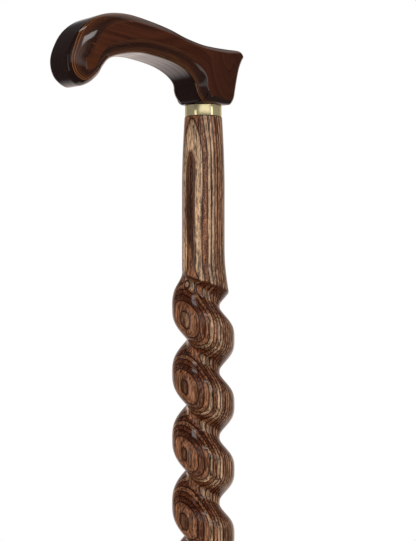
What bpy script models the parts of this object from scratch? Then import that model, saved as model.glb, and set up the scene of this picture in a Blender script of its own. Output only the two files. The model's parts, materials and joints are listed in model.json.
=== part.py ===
"""Walking cane with a twisted shaft of laminated wood, a carved derby handle, a brass collar
and a rubber ferrule that pulls off.

Units are metres and +Z is up. The shaft's axis is the Z axis, the ferrule stands on z = 0 with
its middle at the origin, and the handle's nose points towards -X.
"""

import math

import bmesh
import bpy

INCH = 0.0254
MM = 0.001

# Between two pieces that touch.
CLEARANCE = 0.3 * MM

# The whole cane
OVERALL_HEIGHT = 36.0 * INCH

# Handle, measured from the shaft's axis and from the handle's seat
NOSE_REACH = 103.7 * MM
TAIL_REACH = 21.2 * MM
CROWN_HEIGHT = 44.2 * MM
TAIL_HEIGHT = 33.8 * MM
ARCH_HEIGHT = 24.0 * MM
HOOK_HEIGHT = 3.0 * MM
HOOK_LENGTH = 22.5 * MM
NECK_LENGTH = 30.2 * MM
HANDLE_WIDTH_AT_NOSE = 27.6 * MM
HANDLE_WIDTH_AT_TAIL = 30.0 * MM
GRIP_ROUNDING = 7.4 * MM
TAIL_ROUNDING = 3.4 * MM
CORNER_ROUNDING = 2.3 * MM

# Collar and the shaft's tenon that carries it
COLLAR_RADIUS = 11.1 * MM
COLLAR_HEIGHT = 6.6 * MM
COLLAR_CHAMFER = 0.3 * MM
TENON_RADIUS = 8.0 * MM
TENON_IN_HANDLE = 8.0 * MM

# Stud between shaft and handle, and the threaded insert that takes its upper end
STUD_RADIUS = 4.0 * MM
STUD_IN_SHAFT = 32.0 * MM
STUD_IN_HANDLE = 17.0 * MM
STUD_POINT = 1.5 * MM
INSERT_RADIUS = 6.0 * MM
INSERT_LENGTH = 14.0 * MM
INSERT_RIDGE = 0.6 * MM
INSERT_RIDGES = 4

# Neck of the shaft
NECK_TOP_RADIUS = 11.45 * MM
NECK_BELLY_RADIUS = 13.0 * MM
NECK_SWELL_LENGTH = 42.0 * MM
NECK_SWELL_POWER = 1.7
NECK_TO_TWIST = 87.0 * MM
SHOULDER_BEVEL = 1.0 * MM

# Twist: one ridge that goes round the shaft, left-handed
TWIST_RADIUS = 0.75 * INCH
GROOVE_RADIUS = 10.0 * MM
TWIST_PITCH = 39.8 * MM
RIDGE_BREADTH = 1.6
GROOVE_FLAT = 0.04
TOP_FLARE_LENGTH = 32.0 * MM
TOP_FLARE_SKEW = 0.43
GROOVE_RUN_IN = 42.0 * MM
GROOVE_FULL_BELOW = 25.0 * MM
FIRST_RIDGE_BELOW_SEAT = 132.5 * MM
FIRST_RIDGE_ANGLE = math.radians(-133.0)
EDGE_SOFTNESS = 0.8 * MM

# Lower end of the twist and the plain end of the shaft
TAPER_START = 560.0 * MM
TWIST_LOW_RADIUS = 16.0 * MM
TWIST_BOTTOM = 168.0 * MM
LOW_FLARE_LENGTH = 34.0 * MM
PLAIN_TOP_RADIUS = 10.8 * MM
SHAFT_END_RADIUS = 9.5 * MM

# Ferrule
FERRULE_HEIGHT = 44.0 * MM
FERRULE_BASE_RADIUS = 18.0 * MM
FERRULE_SOLE = 9.0 * MM
FERRULE_WALL = 2.8 * MM
FERRULE_RIB = 0.9 * MM
FERRULE_RIBS = 4
TREAD_DEPTH = 1.2 * MM
TREAD_RINGS = 2
WASHER_THICKNESS = 1.5 * MM

# Fineness of the meshes: the twist's rings and sides agree, so that its edges follow the ridge.
TWIST_SIDES = 16
ROUND_SIDES = 24
CURVE_STEPS = 2
ROUNDING_STEPS = 3

SEAT_Z = OVERALL_HEIGHT - CROWN_HEIGHT
COLLAR_TOP_Z = SEAT_Z - CLEARANCE
COLLAR_BOTTOM_Z = COLLAR_TOP_Z - COLLAR_HEIGHT
SHOULDER_Z = COLLAR_BOTTOM_Z - CLEARANCE
TENON_TOP_Z = SEAT_Z + TENON_IN_HANDLE
WASHER_BOTTOM_Z = FERRULE_SOLE + CLEARANCE
SHAFT_BOTTOM_Z = WASHER_BOTTOM_Z + WASHER_THICKNESS + CLEARANCE
TWIST_TOP_Z = SHOULDER_Z - NECK_TO_TWIST
FIRST_RIDGE_Z = SEAT_Z - FIRST_RIDGE_BELOW_SEAT


def clear_scene():
    """Removes whatever the file holds."""
    for item in list(bpy.context.scene.objects):
        bpy.data.objects.remove(item, do_unlink=True)


def new_collection(name):
    """A collection linked to the scene."""
    collection = bpy.data.collections.new(name)
    bpy.context.scene.collection.children.link(collection)
    return collection


def principled(name, colour, roughness, metallic=0.0, coat=0.0):
    """A Principled material."""
    material = bpy.data.materials.new(name)
    material.use_nodes = True
    shader = material.node_tree.nodes["Principled BSDF"]
    shader.inputs["Base Color"].default_value = (*colour, 1.0)
    shader.inputs["Roughness"].default_value = roughness
    shader.inputs["Metallic"].default_value = metallic
    shader.inputs["Coat Weight"].default_value = coat
    return material


def mesh_object(name, vertices, faces, collection, material=None):
    """An object from vertices and faces, with no edges of its own."""
    mesh = bpy.data.meshes.new(name)
    mesh.from_pydata(vertices, [], faces)
    if material:
        mesh.materials.append(material)
    item = bpy.data.objects.new(name, mesh)
    collection.objects.link(item)
    return item


def finish(item, sharp_angle=math.radians(34.0)):
    """Applies the modifiers of an object and shades it smooth up to an angle."""
    depsgraph = bpy.context.evaluated_depsgraph_get()
    mesh = bpy.data.meshes.new_from_object(item.evaluated_get(depsgraph))
    item.modifiers.clear()
    item.data = mesh
    mesh.shade_smooth()
    mesh.set_sharp_from_angle(angle=sharp_angle)
    return item


def turned(name, profile, closed, collection, material=None, sides=ROUND_SIDES):
    """A turned solid. The profile, pairs of radius and height, runs down its outer side.

    A closed profile goes round a ring; an open one starts and ends on the axis.
    """
    mesh = bpy.data.meshes.new(name)
    edges = [(i, i + 1) for i in range(len(profile) - 1)]
    if closed:
        edges.append((len(profile) - 1, 0))
    mesh.from_pydata([(radius, 0.0, height) for radius, height in profile], edges, [])
    if material:
        mesh.materials.append(material)
    item = bpy.data.objects.new(name, mesh)
    collection.objects.link(item)
    screw = item.modifiers.new("turn", "SCREW")
    screw.steps = sides
    screw.render_steps = sides
    screw.use_merge_vertices = True
    screw.merge_threshold = 0.00005
    return item


def bore(item, radius, low, high, cutters):
    """Drills a vertical hole on the shaft's axis, from low to high."""
    name = f"{item.name}_bore_{len(item.modifiers) + 1}"
    profile = [(0.0, high), (radius, high), (radius, low), (0.0, low)]
    cutter = turned(name, profile, False, cutters)
    cutter.hide_render = True
    cutter.display_type = "WIRE"
    cut = item.modifiers.new(name, "BOOLEAN")
    cut.operation = "DIFFERENCE"
    cut.solver = "EXACT"
    cut.object = cutter


def smoothstep(low, high, value):
    """0 at low, 1 at high, with level ends."""
    share = min(1.0, max(0.0, (value - low) / (high - low)))
    return share * share * (3.0 - 2.0 * share)


def soft_min(first, second, softness):
    """The lesser of two radii, with the edge between them rounded."""
    near = max(softness - abs(first - second), 0.0) / softness
    return min(first, second) - near * near * softness / 4.0


def smooth_loop(points, steps):
    """A closed Catmull-Rom curve through points of any number of values."""
    loop = []
    count = len(points)
    for index in range(count):
        before, start, end, after = (points[(index + shift) % count] for shift in (-1, 0, 1, 2))
        for step in range(steps):
            t = step / steps
            loop.append(tuple(
                0.5 * (2.0 * b + (c - a) * t + (2.0 * a - 5.0 * b + 4.0 * c - d) * t ** 2
                       + (3.0 * b - a - 3.0 * c + d) * t ** 3)
                for a, b, c, d in zip(before, start, end, after)))
    return loop


def handle_outline():
    """The handle's side view: points of x, height over the seat and rounding of the edge.

    It starts at the seat's rear corner and goes up the back, over the crown to the nose, round
    the hook and along the arch to the neck's front.
    """
    half_neck = NECK_LENGTH / 2.0
    hook = HOOK_LENGTH - NOSE_REACH
    span = -half_neck - hook
    nose = -NOSE_REACH
    back = TAIL_REACH - half_neck
    drop = CROWN_HEIGHT - TAIL_HEIGHT
    rise = TAIL_HEIGHT
    hollow = ARCH_HEIGHT - HOOK_HEIGHT
    grip = GRIP_ROUNDING
    tail = TAIL_ROUNDING
    corner = CORNER_ROUNDING
    nose_drop = CROWN_HEIGHT - HOOK_HEIGHT
    return [
        (half_neck - 7.2 * MM, 0.0, tail),
        (half_neck - 3.7 * MM, 0.8 * MM, tail),
        (half_neck - 1.4 * MM, 0.118 * rise, tail),
        (half_neck - 0.2 * MM, 0.265 * rise, tail),
        (half_neck + 0.18 * back, 0.445 * rise, tail),
        (half_neck + 0.52 * back, 0.67 * rise, tail),
        (TAIL_REACH - 0.6 * MM, rise - 5.6 * MM, tail),
        (TAIL_REACH, rise - 2.2 * MM, corner),
        (TAIL_REACH - 2.8 * MM, rise + 0.01 * drop, corner),
        (0.4 * TAIL_REACH, rise - 0.01 * drop, tail),
        (-0.02 * NOSE_REACH, rise - 0.015 * drop, tail),
        (0.12 * nose, rise + 0.04 * drop, tail),
        (0.235 * nose, rise + 0.27 * drop, 0.5 * grip),
        (0.35 * nose, rise + 0.605 * drop, 0.58 * grip),
        (0.485 * nose, rise + 0.855 * drop, 0.66 * grip),
        (0.63 * nose, CROWN_HEIGHT, 0.75 * grip),
        (0.755 * nose, CROWN_HEIGHT - 0.035 * nose_drop, 0.85 * grip),
        (0.86 * nose, CROWN_HEIGHT - 0.144 * nose_drop, 0.95 * grip),
        (0.94 * nose, CROWN_HEIGHT - 0.32 * nose_drop, grip),
        (0.989 * nose, CROWN_HEIGHT - 0.556 * nose_drop, grip),
        (nose, CROWN_HEIGHT - 0.74 * nose_drop, grip),
        (nose + 0.11 * HOOK_LENGTH, HOOK_HEIGHT + 0.095 * nose_drop, grip),
        (nose + 0.37 * HOOK_LENGTH, HOOK_HEIGHT, 0.93 * grip),
        (nose + 0.64 * HOOK_LENGTH, HOOK_HEIGHT + 0.08 * hollow, 0.9 * grip),
        (nose + 0.87 * HOOK_LENGTH, HOOK_HEIGHT + 0.29 * hollow, 0.9 * grip),
        (hook, HOOK_HEIGHT + 0.53 * hollow, 0.93 * grip),
        (hook + 0.06 * span, HOOK_HEIGHT + 0.735 * hollow, grip),
        (hook + 0.18 * span, HOOK_HEIGHT + 0.89 * hollow, grip),
        (hook + 0.37 * span, ARCH_HEIGHT, grip),
        (hook + 0.565 * span, ARCH_HEIGHT - 0.035 * hollow, grip),
        (hook + 0.75 * span, ARCH_HEIGHT - 0.135 * hollow, grip),
        (hook + 0.887 * span, 0.735 * ARCH_HEIGHT, grip),
        (hook + 0.975 * span, 0.54 * ARCH_HEIGHT, 0.92 * grip),
        (0.7 * MM - half_neck, 0.335 * ARCH_HEIGHT, 0.8 * grip),
        (1.9 * MM - half_neck, 0.15 * ARCH_HEIGHT, 0.65 * grip),
        (4.8 * MM - half_neck, 0.8 * MM, tail),
        (8.2 * MM - half_neck, 0.0, tail),
    ]


def handle_half_width(x):
    """Half of the handle's width, which grows evenly from the nose to the tail."""
    share = (x + NOSE_REACH) / (NOSE_REACH + TAIL_REACH)
    growth = HANDLE_WIDTH_AT_TAIL - HANDLE_WIDTH_AT_NOSE
    return (HANDLE_WIDTH_AT_NOSE + growth * share) / 2.0


def outward_normals(loop):
    """The outward direction at each point of a counter-clockwise loop of (x, z, ...)."""
    normals = []
    count = len(loop)
    for index in range(count):
        before = loop[index - 1]
        after = loop[(index + 1) % count]
        along_x = after[0] - before[0]
        along_z = after[1] - before[1]
        length = math.hypot(along_x, along_z)
        normals.append((along_z / length, -along_x / length))
    return normals


def make_handle(collection, cutters, material):
    """The handle: its outline cut from a plank, with the long edges rounded over."""
    loop = smooth_loop(handle_outline(), CURVE_STEPS)
    normals = outward_normals(loop)
    turns = [math.pi / 2.0 * step / ROUNDING_STEPS for step in range(ROUNDING_STEPS + 1)]
    layers = [(-1.0, turn) for turn in reversed(turns)] + [(1.0, turn) for turn in turns]
    vertices = []
    for side, turn in layers:
        for (x, z, rounding), (normal_x, normal_z) in zip(loop, normals):
            inset = rounding * (1.0 - math.cos(turn))
            depth = rounding * (1.0 - math.sin(turn))
            place_x = x - normal_x * inset
            vertices.append((place_x, side * (handle_half_width(place_x) - depth),
                             SEAT_Z + z - normal_z * inset))
    count = len(loop)
    faces = []
    for layer in range(len(layers) - 1):
        for index in range(count):
            following = (index + 1) % count
            low = layer * count
            high = low + count
            faces.append((low + index, low + following, high + following, high + index))
    last = (len(layers) - 1) * count
    faces.append(tuple(reversed(range(count))))
    faces.append(tuple(last + index for index in range(count)))
    handle = mesh_object("handle", vertices, faces, collection, material)
    recalculate_normals(handle)
    below = SEAT_Z - 1.0 * MM
    bore(handle, TENON_RADIUS + CLEARANCE, below, TENON_TOP_Z + CLEARANCE, cutters)
    bore(handle, INSERT_RADIUS + INSERT_RIDGE + CLEARANCE, below,
         TENON_TOP_Z + STUD_IN_HANDLE + 2.0 * CLEARANCE, cutters)
    return finish(handle)


def recalculate_normals(item):
    """Turns every face of a closed mesh outwards."""
    work = bmesh.new()
    work.from_mesh(item.data)
    bmesh.ops.recalc_face_normals(work, faces=work.faces)
    work.to_mesh(item.data)
    work.free()


def make_insert(collection, material):
    """The threaded insert: a brass sleeve with ridges outside, glued into the handle."""
    low = TENON_TOP_Z + 2.0 * CLEARANCE
    high = low + INSERT_LENGTH
    step = INSERT_LENGTH / INSERT_RIDGES
    profile = [(STUD_RADIUS + CLEARANCE, high)]
    for ridge in range(INSERT_RIDGES):
        top = high - ridge * step
        profile.append((INSERT_RADIUS, top))
        profile.append((INSERT_RADIUS + INSERT_RIDGE, top - 0.35 * step))
        profile.append((INSERT_RADIUS + INSERT_RIDGE, top - 0.65 * step))
    profile.append((INSERT_RADIUS, low))
    profile.append((STUD_RADIUS + CLEARANCE, low))
    return finish(turned("handle_insert", profile, True, collection, material))


def make_stud(collection, material):
    """The steel stud that joins shaft and handle."""
    low = TENON_TOP_Z - STUD_IN_SHAFT
    high = TENON_TOP_Z + STUD_IN_HANDLE
    blunt = STUD_RADIUS - STUD_POINT
    profile = [
        (0.0, high), (blunt, high), (STUD_RADIUS, high - STUD_POINT),
        (STUD_RADIUS, low + STUD_POINT), (blunt, low), (0.0, low),
    ]
    return finish(turned("connecting_stud", profile, False, collection, material))


def make_collar(collection, material):
    """The brass collar on the tenon, between the handle's seat and the shaft's shoulder."""
    inner = TENON_RADIUS + CLEARANCE
    bevel = COLLAR_CHAMFER
    profile = [
        (inner, COLLAR_TOP_Z), (COLLAR_RADIUS - bevel, COLLAR_TOP_Z),
        (COLLAR_RADIUS, COLLAR_TOP_Z - bevel), (COLLAR_RADIUS, COLLAR_BOTTOM_Z + bevel),
        (COLLAR_RADIUS - bevel, COLLAR_BOTTOM_Z), (inner, COLLAR_BOTTOM_Z),
    ]
    return finish(turned("collar", profile, True, collection, material, sides=2 * TWIST_SIDES))


def envelope_radius(z):
    """Radius that the ridge reaches: even in the upper part, then tapering to the lower end."""
    share = (TAPER_START - z) / (TAPER_START - TWIST_BOTTOM)
    share = min(1.0, max(0.0, share))
    return TWIST_RADIUS + (TWIST_LOW_RADIUS - TWIST_RADIUS) * share


def flare(z, angle, start, length, towards):
    """Share of the full thickness where a thin end swells into the twist.

    The flare is short where the ridge begins, and starts earlier and is long on the far side.
    """
    skew = TOP_FLARE_SKEW * math.cos(angle - towards)
    start += 0.2 * TOP_FLARE_LENGTH * skew / TOP_FLARE_SKEW * math.copysign(1.0, length)
    return smoothstep(start, start + length * (1.0 - skew), z)


def turned_radius(z, angle):
    """Radius of the shaft as turned and rasped, before its groove is cut."""
    thick = envelope_radius(z) + 2.0 * EDGE_SOFTNESS
    if z > (TWIST_TOP_Z + TWIST_BOTTOM) / 2.0:
        below_shoulder = SHOULDER_Z - z
        slim = max(0.0, 1.0 - below_shoulder / NECK_SWELL_LENGTH) ** NECK_SWELL_POWER
        neck = NECK_BELLY_RADIUS - (NECK_BELLY_RADIUS - NECK_TOP_RADIUS) * slim
        share = flare(z, angle, TWIST_TOP_Z, -TOP_FLARE_LENGTH, FIRST_RIDGE_ANGLE - math.pi / 2.0)
        return neck + (thick - neck) * share
    plain = SHAFT_END_RADIUS + (PLAIN_TOP_RADIUS - SHAFT_END_RADIUS) * smoothstep(
        SHAFT_BOTTOM_Z, TWIST_BOTTOM, z)
    share = flare(z, angle, TWIST_BOTTOM, LOW_FLARE_LENGTH, FIRST_RIDGE_ANGLE + math.pi / 2.0)
    return plain + (thick - plain) * share


def twist_radius(z, angle):
    """Radius of the twisted shaft at a height and an angle round the axis.

    The phase is whole on the ridge and grows downwards; the groove lies half way between, and
    its depth fades out towards both ends of the twist.
    """
    phase = (FIRST_RIDGE_Z - z) / TWIST_PITCH - (angle - FIRST_RIDGE_ANGLE) / math.tau
    from_groove = phase - math.floor(phase) - 0.5
    groove_z = z + from_groove * TWIST_PITCH
    out_of_ridge = min(1.0, (1.0 - 2.0 * abs(from_groove)) / (1.0 - GROOVE_FLAT))
    cut = math.sin(math.pi / 2.0 * out_of_ridge ** RIDGE_BREADTH) ** 2
    full_top = TWIST_TOP_Z - GROOVE_FULL_BELOW
    full_bottom = TWIST_BOTTOM + GROOVE_FULL_BELOW
    run_in = smoothstep(full_top + GROOVE_RUN_IN, full_top, groove_z)
    run_out = smoothstep(full_bottom - GROOVE_RUN_IN, full_bottom, groove_z)
    envelope = envelope_radius(z)
    depth = envelope * (1.0 - GROOVE_RADIUS / TWIST_RADIUS)
    return envelope - depth * cut * run_in * run_out


def shaft_radius(z, angle):
    """Radius of the finished shaft between its lower end and its shoulder."""
    return soft_min(turned_radius(z, angle), twist_radius(z, angle), EDGE_SOFTNESS)


def shaft_heights():
    """Heights of the shaft's rings, from the bottom up. Those of the twist follow its pitch."""
    step = TWIST_PITCH / TWIST_SIDES
    first = math.ceil((TWIST_BOTTOM - 6.0 * MM - FIRST_RIDGE_Z) / step)
    last = math.floor((TWIST_TOP_Z + 6.0 * MM - FIRST_RIDGE_Z) / step)
    twist = [FIRST_RIDGE_Z + index * step for index in range(first, last + 1)]
    plain_bottom = SHAFT_BOTTOM_Z + SHOULDER_BEVEL
    plain_count = 5
    plain = [plain_bottom + (twist[0] - plain_bottom) * index / plain_count
             for index in range(plain_count)]
    neck_top = SHOULDER_Z - SHOULDER_BEVEL
    neck_count = 9
    neck = [twist[-1] + (neck_top - twist[-1]) * index / neck_count
            for index in range(1, neck_count + 1)]
    return plain + twist + neck


def make_shaft(collection, cutters, material):
    """The shaft in one piece, lofted through rings from its lower end to its tenon."""
    angles = [FIRST_RIDGE_ANGLE + math.tau * side / TWIST_SIDES for side in range(TWIST_SIDES)]
    rings = [(SHAFT_BOTTOM_Z, [SHAFT_END_RADIUS - SHOULDER_BEVEL] * TWIST_SIDES)]
    for z in shaft_heights():
        rings.append((z, [shaft_radius(z, angle) for angle in angles]))
    rings.append((SHOULDER_Z, [COLLAR_RADIUS] * TWIST_SIDES))
    rings.append((SHOULDER_Z, [TENON_RADIUS] * TWIST_SIDES))
    rings.append((TENON_TOP_Z, [TENON_RADIUS] * TWIST_SIDES))
    vertices = []
    for z, radii in rings:
        for angle, radius in zip(angles, radii):
            vertices.append((radius * math.cos(angle), radius * math.sin(angle), z))
    faces = [tuple(reversed(range(TWIST_SIDES)))]
    for ring in range(len(rings) - 1):
        low = ring * TWIST_SIDES
        high = low + TWIST_SIDES
        for side in range(TWIST_SIDES):
            following = (side + 1) % TWIST_SIDES
            # The shared edge runs down to the right, along the left-handed ridge.
            faces.append((low + side, low + following, high + side))
            faces.append((low + following, high + following, high + side))
    top = (len(rings) - 1) * TWIST_SIDES
    faces.append(tuple(top + side for side in range(TWIST_SIDES)))
    shaft = mesh_object("shaft", vertices, faces, collection, material)
    bore(shaft, STUD_RADIUS + CLEARANCE, TENON_TOP_Z - STUD_IN_SHAFT - CLEARANCE,
         TENON_TOP_Z + 1.0 * MM, cutters)
    return finish(shaft)


def ferrule_profile():
    """The ferrule's half section, from the socket's floor up, over the lip, down and under."""
    socket = SHAFT_END_RADIUS + CLEARANCE
    tube = socket + FERRULE_WALL
    lip = 2.5 * MM
    ribs_top = FERRULE_HEIGHT - lip
    ribs_bottom = 0.5 * FERRULE_HEIGHT
    step = (ribs_top - ribs_bottom) / FERRULE_RIBS
    profile = [
        (0.0, FERRULE_SOLE), (socket, FERRULE_SOLE), (socket, FERRULE_HEIGHT),
        (tube - 0.4 * FERRULE_WALL, FERRULE_HEIGHT), (tube, FERRULE_HEIGHT - 0.4 * lip),
    ]
    for rib in range(FERRULE_RIBS):
        top = ribs_top - rib * step
        profile.append((tube, top))
        profile.append((tube + FERRULE_RIB, top - 0.2 * step))
        profile.append((tube + FERRULE_RIB, top - 0.5 * step))
        profile.append((tube, top - 0.7 * step))
    flare = FERRULE_BASE_RADIUS - tube
    band = 0.13 * FERRULE_HEIGHT
    flare_height = ribs_bottom - band
    for share in (0.0, 0.3, 0.6, 0.85, 1.0):
        profile.append((tube + flare * share ** 1.8, band + flare_height * (1.0 - share)))
    bevel = 0.8 * MM
    profile.append((FERRULE_BASE_RADIUS, bevel))
    profile.append((FERRULE_BASE_RADIUS - bevel, 0.0))
    pad = 0.3 * FERRULE_BASE_RADIUS
    ring = (FERRULE_BASE_RADIUS - bevel - pad) / TREAD_RINGS
    for index in range(TREAD_RINGS):
        inner = FERRULE_BASE_RADIUS - bevel - (index + 1) * ring
        profile.append((inner + 0.45 * ring, 0.0))
        profile.append((inner + 0.38 * ring, TREAD_DEPTH))
        profile.append((inner + 0.07 * ring, TREAD_DEPTH))
        profile.append((inner, 0.0))
    profile.append((0.0, 0.0))
    return profile


def make_ferrule(collection, material):
    """The rubber ferrule: a ribbed cup with a broad sole and a ring tread."""
    return finish(turned("ferrule", ferrule_profile(), False, collection, material))


def make_washer(collection, material):
    """The steel disc on the floor of the ferrule's socket."""
    edge = 0.2 * WASHER_THICKNESS
    top = WASHER_BOTTOM_Z + WASHER_THICKNESS
    profile = [
        (0.0, top), (SHAFT_END_RADIUS - edge, top), (SHAFT_END_RADIUS, top - edge),
        (SHAFT_END_RADIUS, WASHER_BOTTOM_Z), (0.0, WASHER_BOTTOM_Z),
    ]
    return finish(turned("ferrule_washer", profile, False, collection, material))


def main():
    """Builds the cane's pieces."""
    clear_scene()
    cane = new_collection("walking_cane")
    cutters = new_collection("cutters")
    dark_wood = principled("dark_wood", (0.060, 0.022, 0.012), 0.25, coat=0.8)
    veneers = principled("laminated_wood", (0.170, 0.085, 0.052), 0.38, coat=0.4)
    brass = principled("brass", (0.52, 0.43, 0.25), 0.25, metallic=1.0)
    steel = principled("steel", (0.55, 0.56, 0.57), 0.35, metallic=1.0)
    rubber = principled("rubber", (0.018, 0.018, 0.018), 0.75)
    make_handle(cane, cutters, dark_wood)
    make_insert(cane, brass)
    make_stud(cane, steel)
    make_collar(cane, brass)
    make_shaft(cane, cutters, veneers)
    slide = bpy.data.objects.new("ferrule_slide", None)
    cane.objects.link(slide)
    for piece in (make_ferrule(cane, rubber), make_washer(cane, steel)):
        piece.parent = slide


main()
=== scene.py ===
"""Looks of a walking cane: a twisted shaft of laminated wood, a carved derby handle, a brass
collar and a rubber ferrule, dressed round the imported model.

Units are metres and +Z is up. The shaft's axis is the Z axis, the cane stands on z = 0 and the
handle's nose points towards -X.
"""

from __future__ import annotations

import json
import logging
import math
from contextlib import contextmanager
from dataclasses import dataclass, field
from enum import Enum
from typing import Any, Callable, Iterator, Sequence, Union

import bmesh
import bpy
import numpy as np
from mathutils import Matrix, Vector

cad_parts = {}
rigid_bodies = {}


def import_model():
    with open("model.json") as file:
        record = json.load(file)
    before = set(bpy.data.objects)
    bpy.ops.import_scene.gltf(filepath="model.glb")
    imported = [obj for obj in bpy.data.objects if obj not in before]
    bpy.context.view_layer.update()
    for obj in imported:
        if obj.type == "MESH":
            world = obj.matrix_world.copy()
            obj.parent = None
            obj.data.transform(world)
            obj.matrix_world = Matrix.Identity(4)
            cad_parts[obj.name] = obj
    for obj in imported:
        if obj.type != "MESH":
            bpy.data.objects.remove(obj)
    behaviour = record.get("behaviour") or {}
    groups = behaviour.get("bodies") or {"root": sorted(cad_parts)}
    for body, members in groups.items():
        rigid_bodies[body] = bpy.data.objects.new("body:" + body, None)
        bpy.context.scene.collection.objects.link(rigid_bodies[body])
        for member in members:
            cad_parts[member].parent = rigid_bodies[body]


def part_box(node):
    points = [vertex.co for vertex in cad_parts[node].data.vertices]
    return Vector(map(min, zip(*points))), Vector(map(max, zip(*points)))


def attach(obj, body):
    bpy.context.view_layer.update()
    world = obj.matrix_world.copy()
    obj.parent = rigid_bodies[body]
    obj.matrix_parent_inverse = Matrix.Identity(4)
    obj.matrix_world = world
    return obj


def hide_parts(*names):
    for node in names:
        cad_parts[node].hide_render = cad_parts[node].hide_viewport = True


MM = 0.001
CLEARANCE = 0.3 * MM
NEARBY = 0.1 * MM
TOUCHING = 0.01 * MM
UPWARDS = 0.9
BEVEL_SEGMENTS = 3
START_SIZE = 0.01

log = logging.getLogger("walking_cane")
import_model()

Colour = tuple[float, float, float]
Profile = list[tuple[float, float]]
Stops = Sequence[tuple[float, Colour]]
Weights = tuple[float, ...]


class Body(Enum):
    """What a piece moves with."""

    CANE = "cane"
    FERRULE = "ferrule"


class Slot(Enum):
    """Finishes that the record names."""

    DARK_WOOD = "dark_wood"
    LAMINATED_WOOD = "laminated_wood"
    BRASS = "brass"
    STEEL = "steel"
    RUBBER = "rubber"


def node_box(node: str) -> tuple[Vector, Vector]:
    """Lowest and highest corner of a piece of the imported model."""
    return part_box(node)


# Shader maths


class Value:
    """A shader socket that takes part in Python arithmetic; each operator adds its Math node."""

    def __init__(self, graph: Graph, socket: bpy.types.NodeSocket) -> None:
        """Wraps a socket of a graph."""
        self.graph = graph
        self.socket = socket

    def __add__(self, other: Operand) -> Value:
        """This plus another."""
        return self.graph.math("ADD", self, other)

    def __radd__(self, other: Operand) -> Value:
        """Another plus this."""
        return self.graph.math("ADD", other, self)

    def __sub__(self, other: Operand) -> Value:
        """This less another."""
        return self.graph.math("SUBTRACT", self, other)

    def __rsub__(self, other: Operand) -> Value:
        """Another less this."""
        return self.graph.math("SUBTRACT", other, self)

    def __mul__(self, other: Operand) -> Value:
        """This times another."""
        return self.graph.math("MULTIPLY", self, other)

    def __rmul__(self, other: Operand) -> Value:
        """Another times this."""
        return self.graph.math("MULTIPLY", other, self)

    def __truediv__(self, other: Operand) -> Value:
        """This over another."""
        return self.graph.math("DIVIDE", self, other)

    def __abs__(self) -> Value:
        """The size of this, without its sign."""
        return self.graph.math("ABSOLUTE", self)


Operand = Union[Value, float]


def weighted(weights: Weights, *values: Value) -> Value:
    """Adds values up, each times its own weight.

    Args:
        weights: The number to start from, then a weight for each value.
        values: The values.

    Returns:
        The sum.
    """
    total: Operand = weights[0]
    for weight, value in zip(weights[1:], values, strict=True):
        total = value * weight + total
    return total


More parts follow.
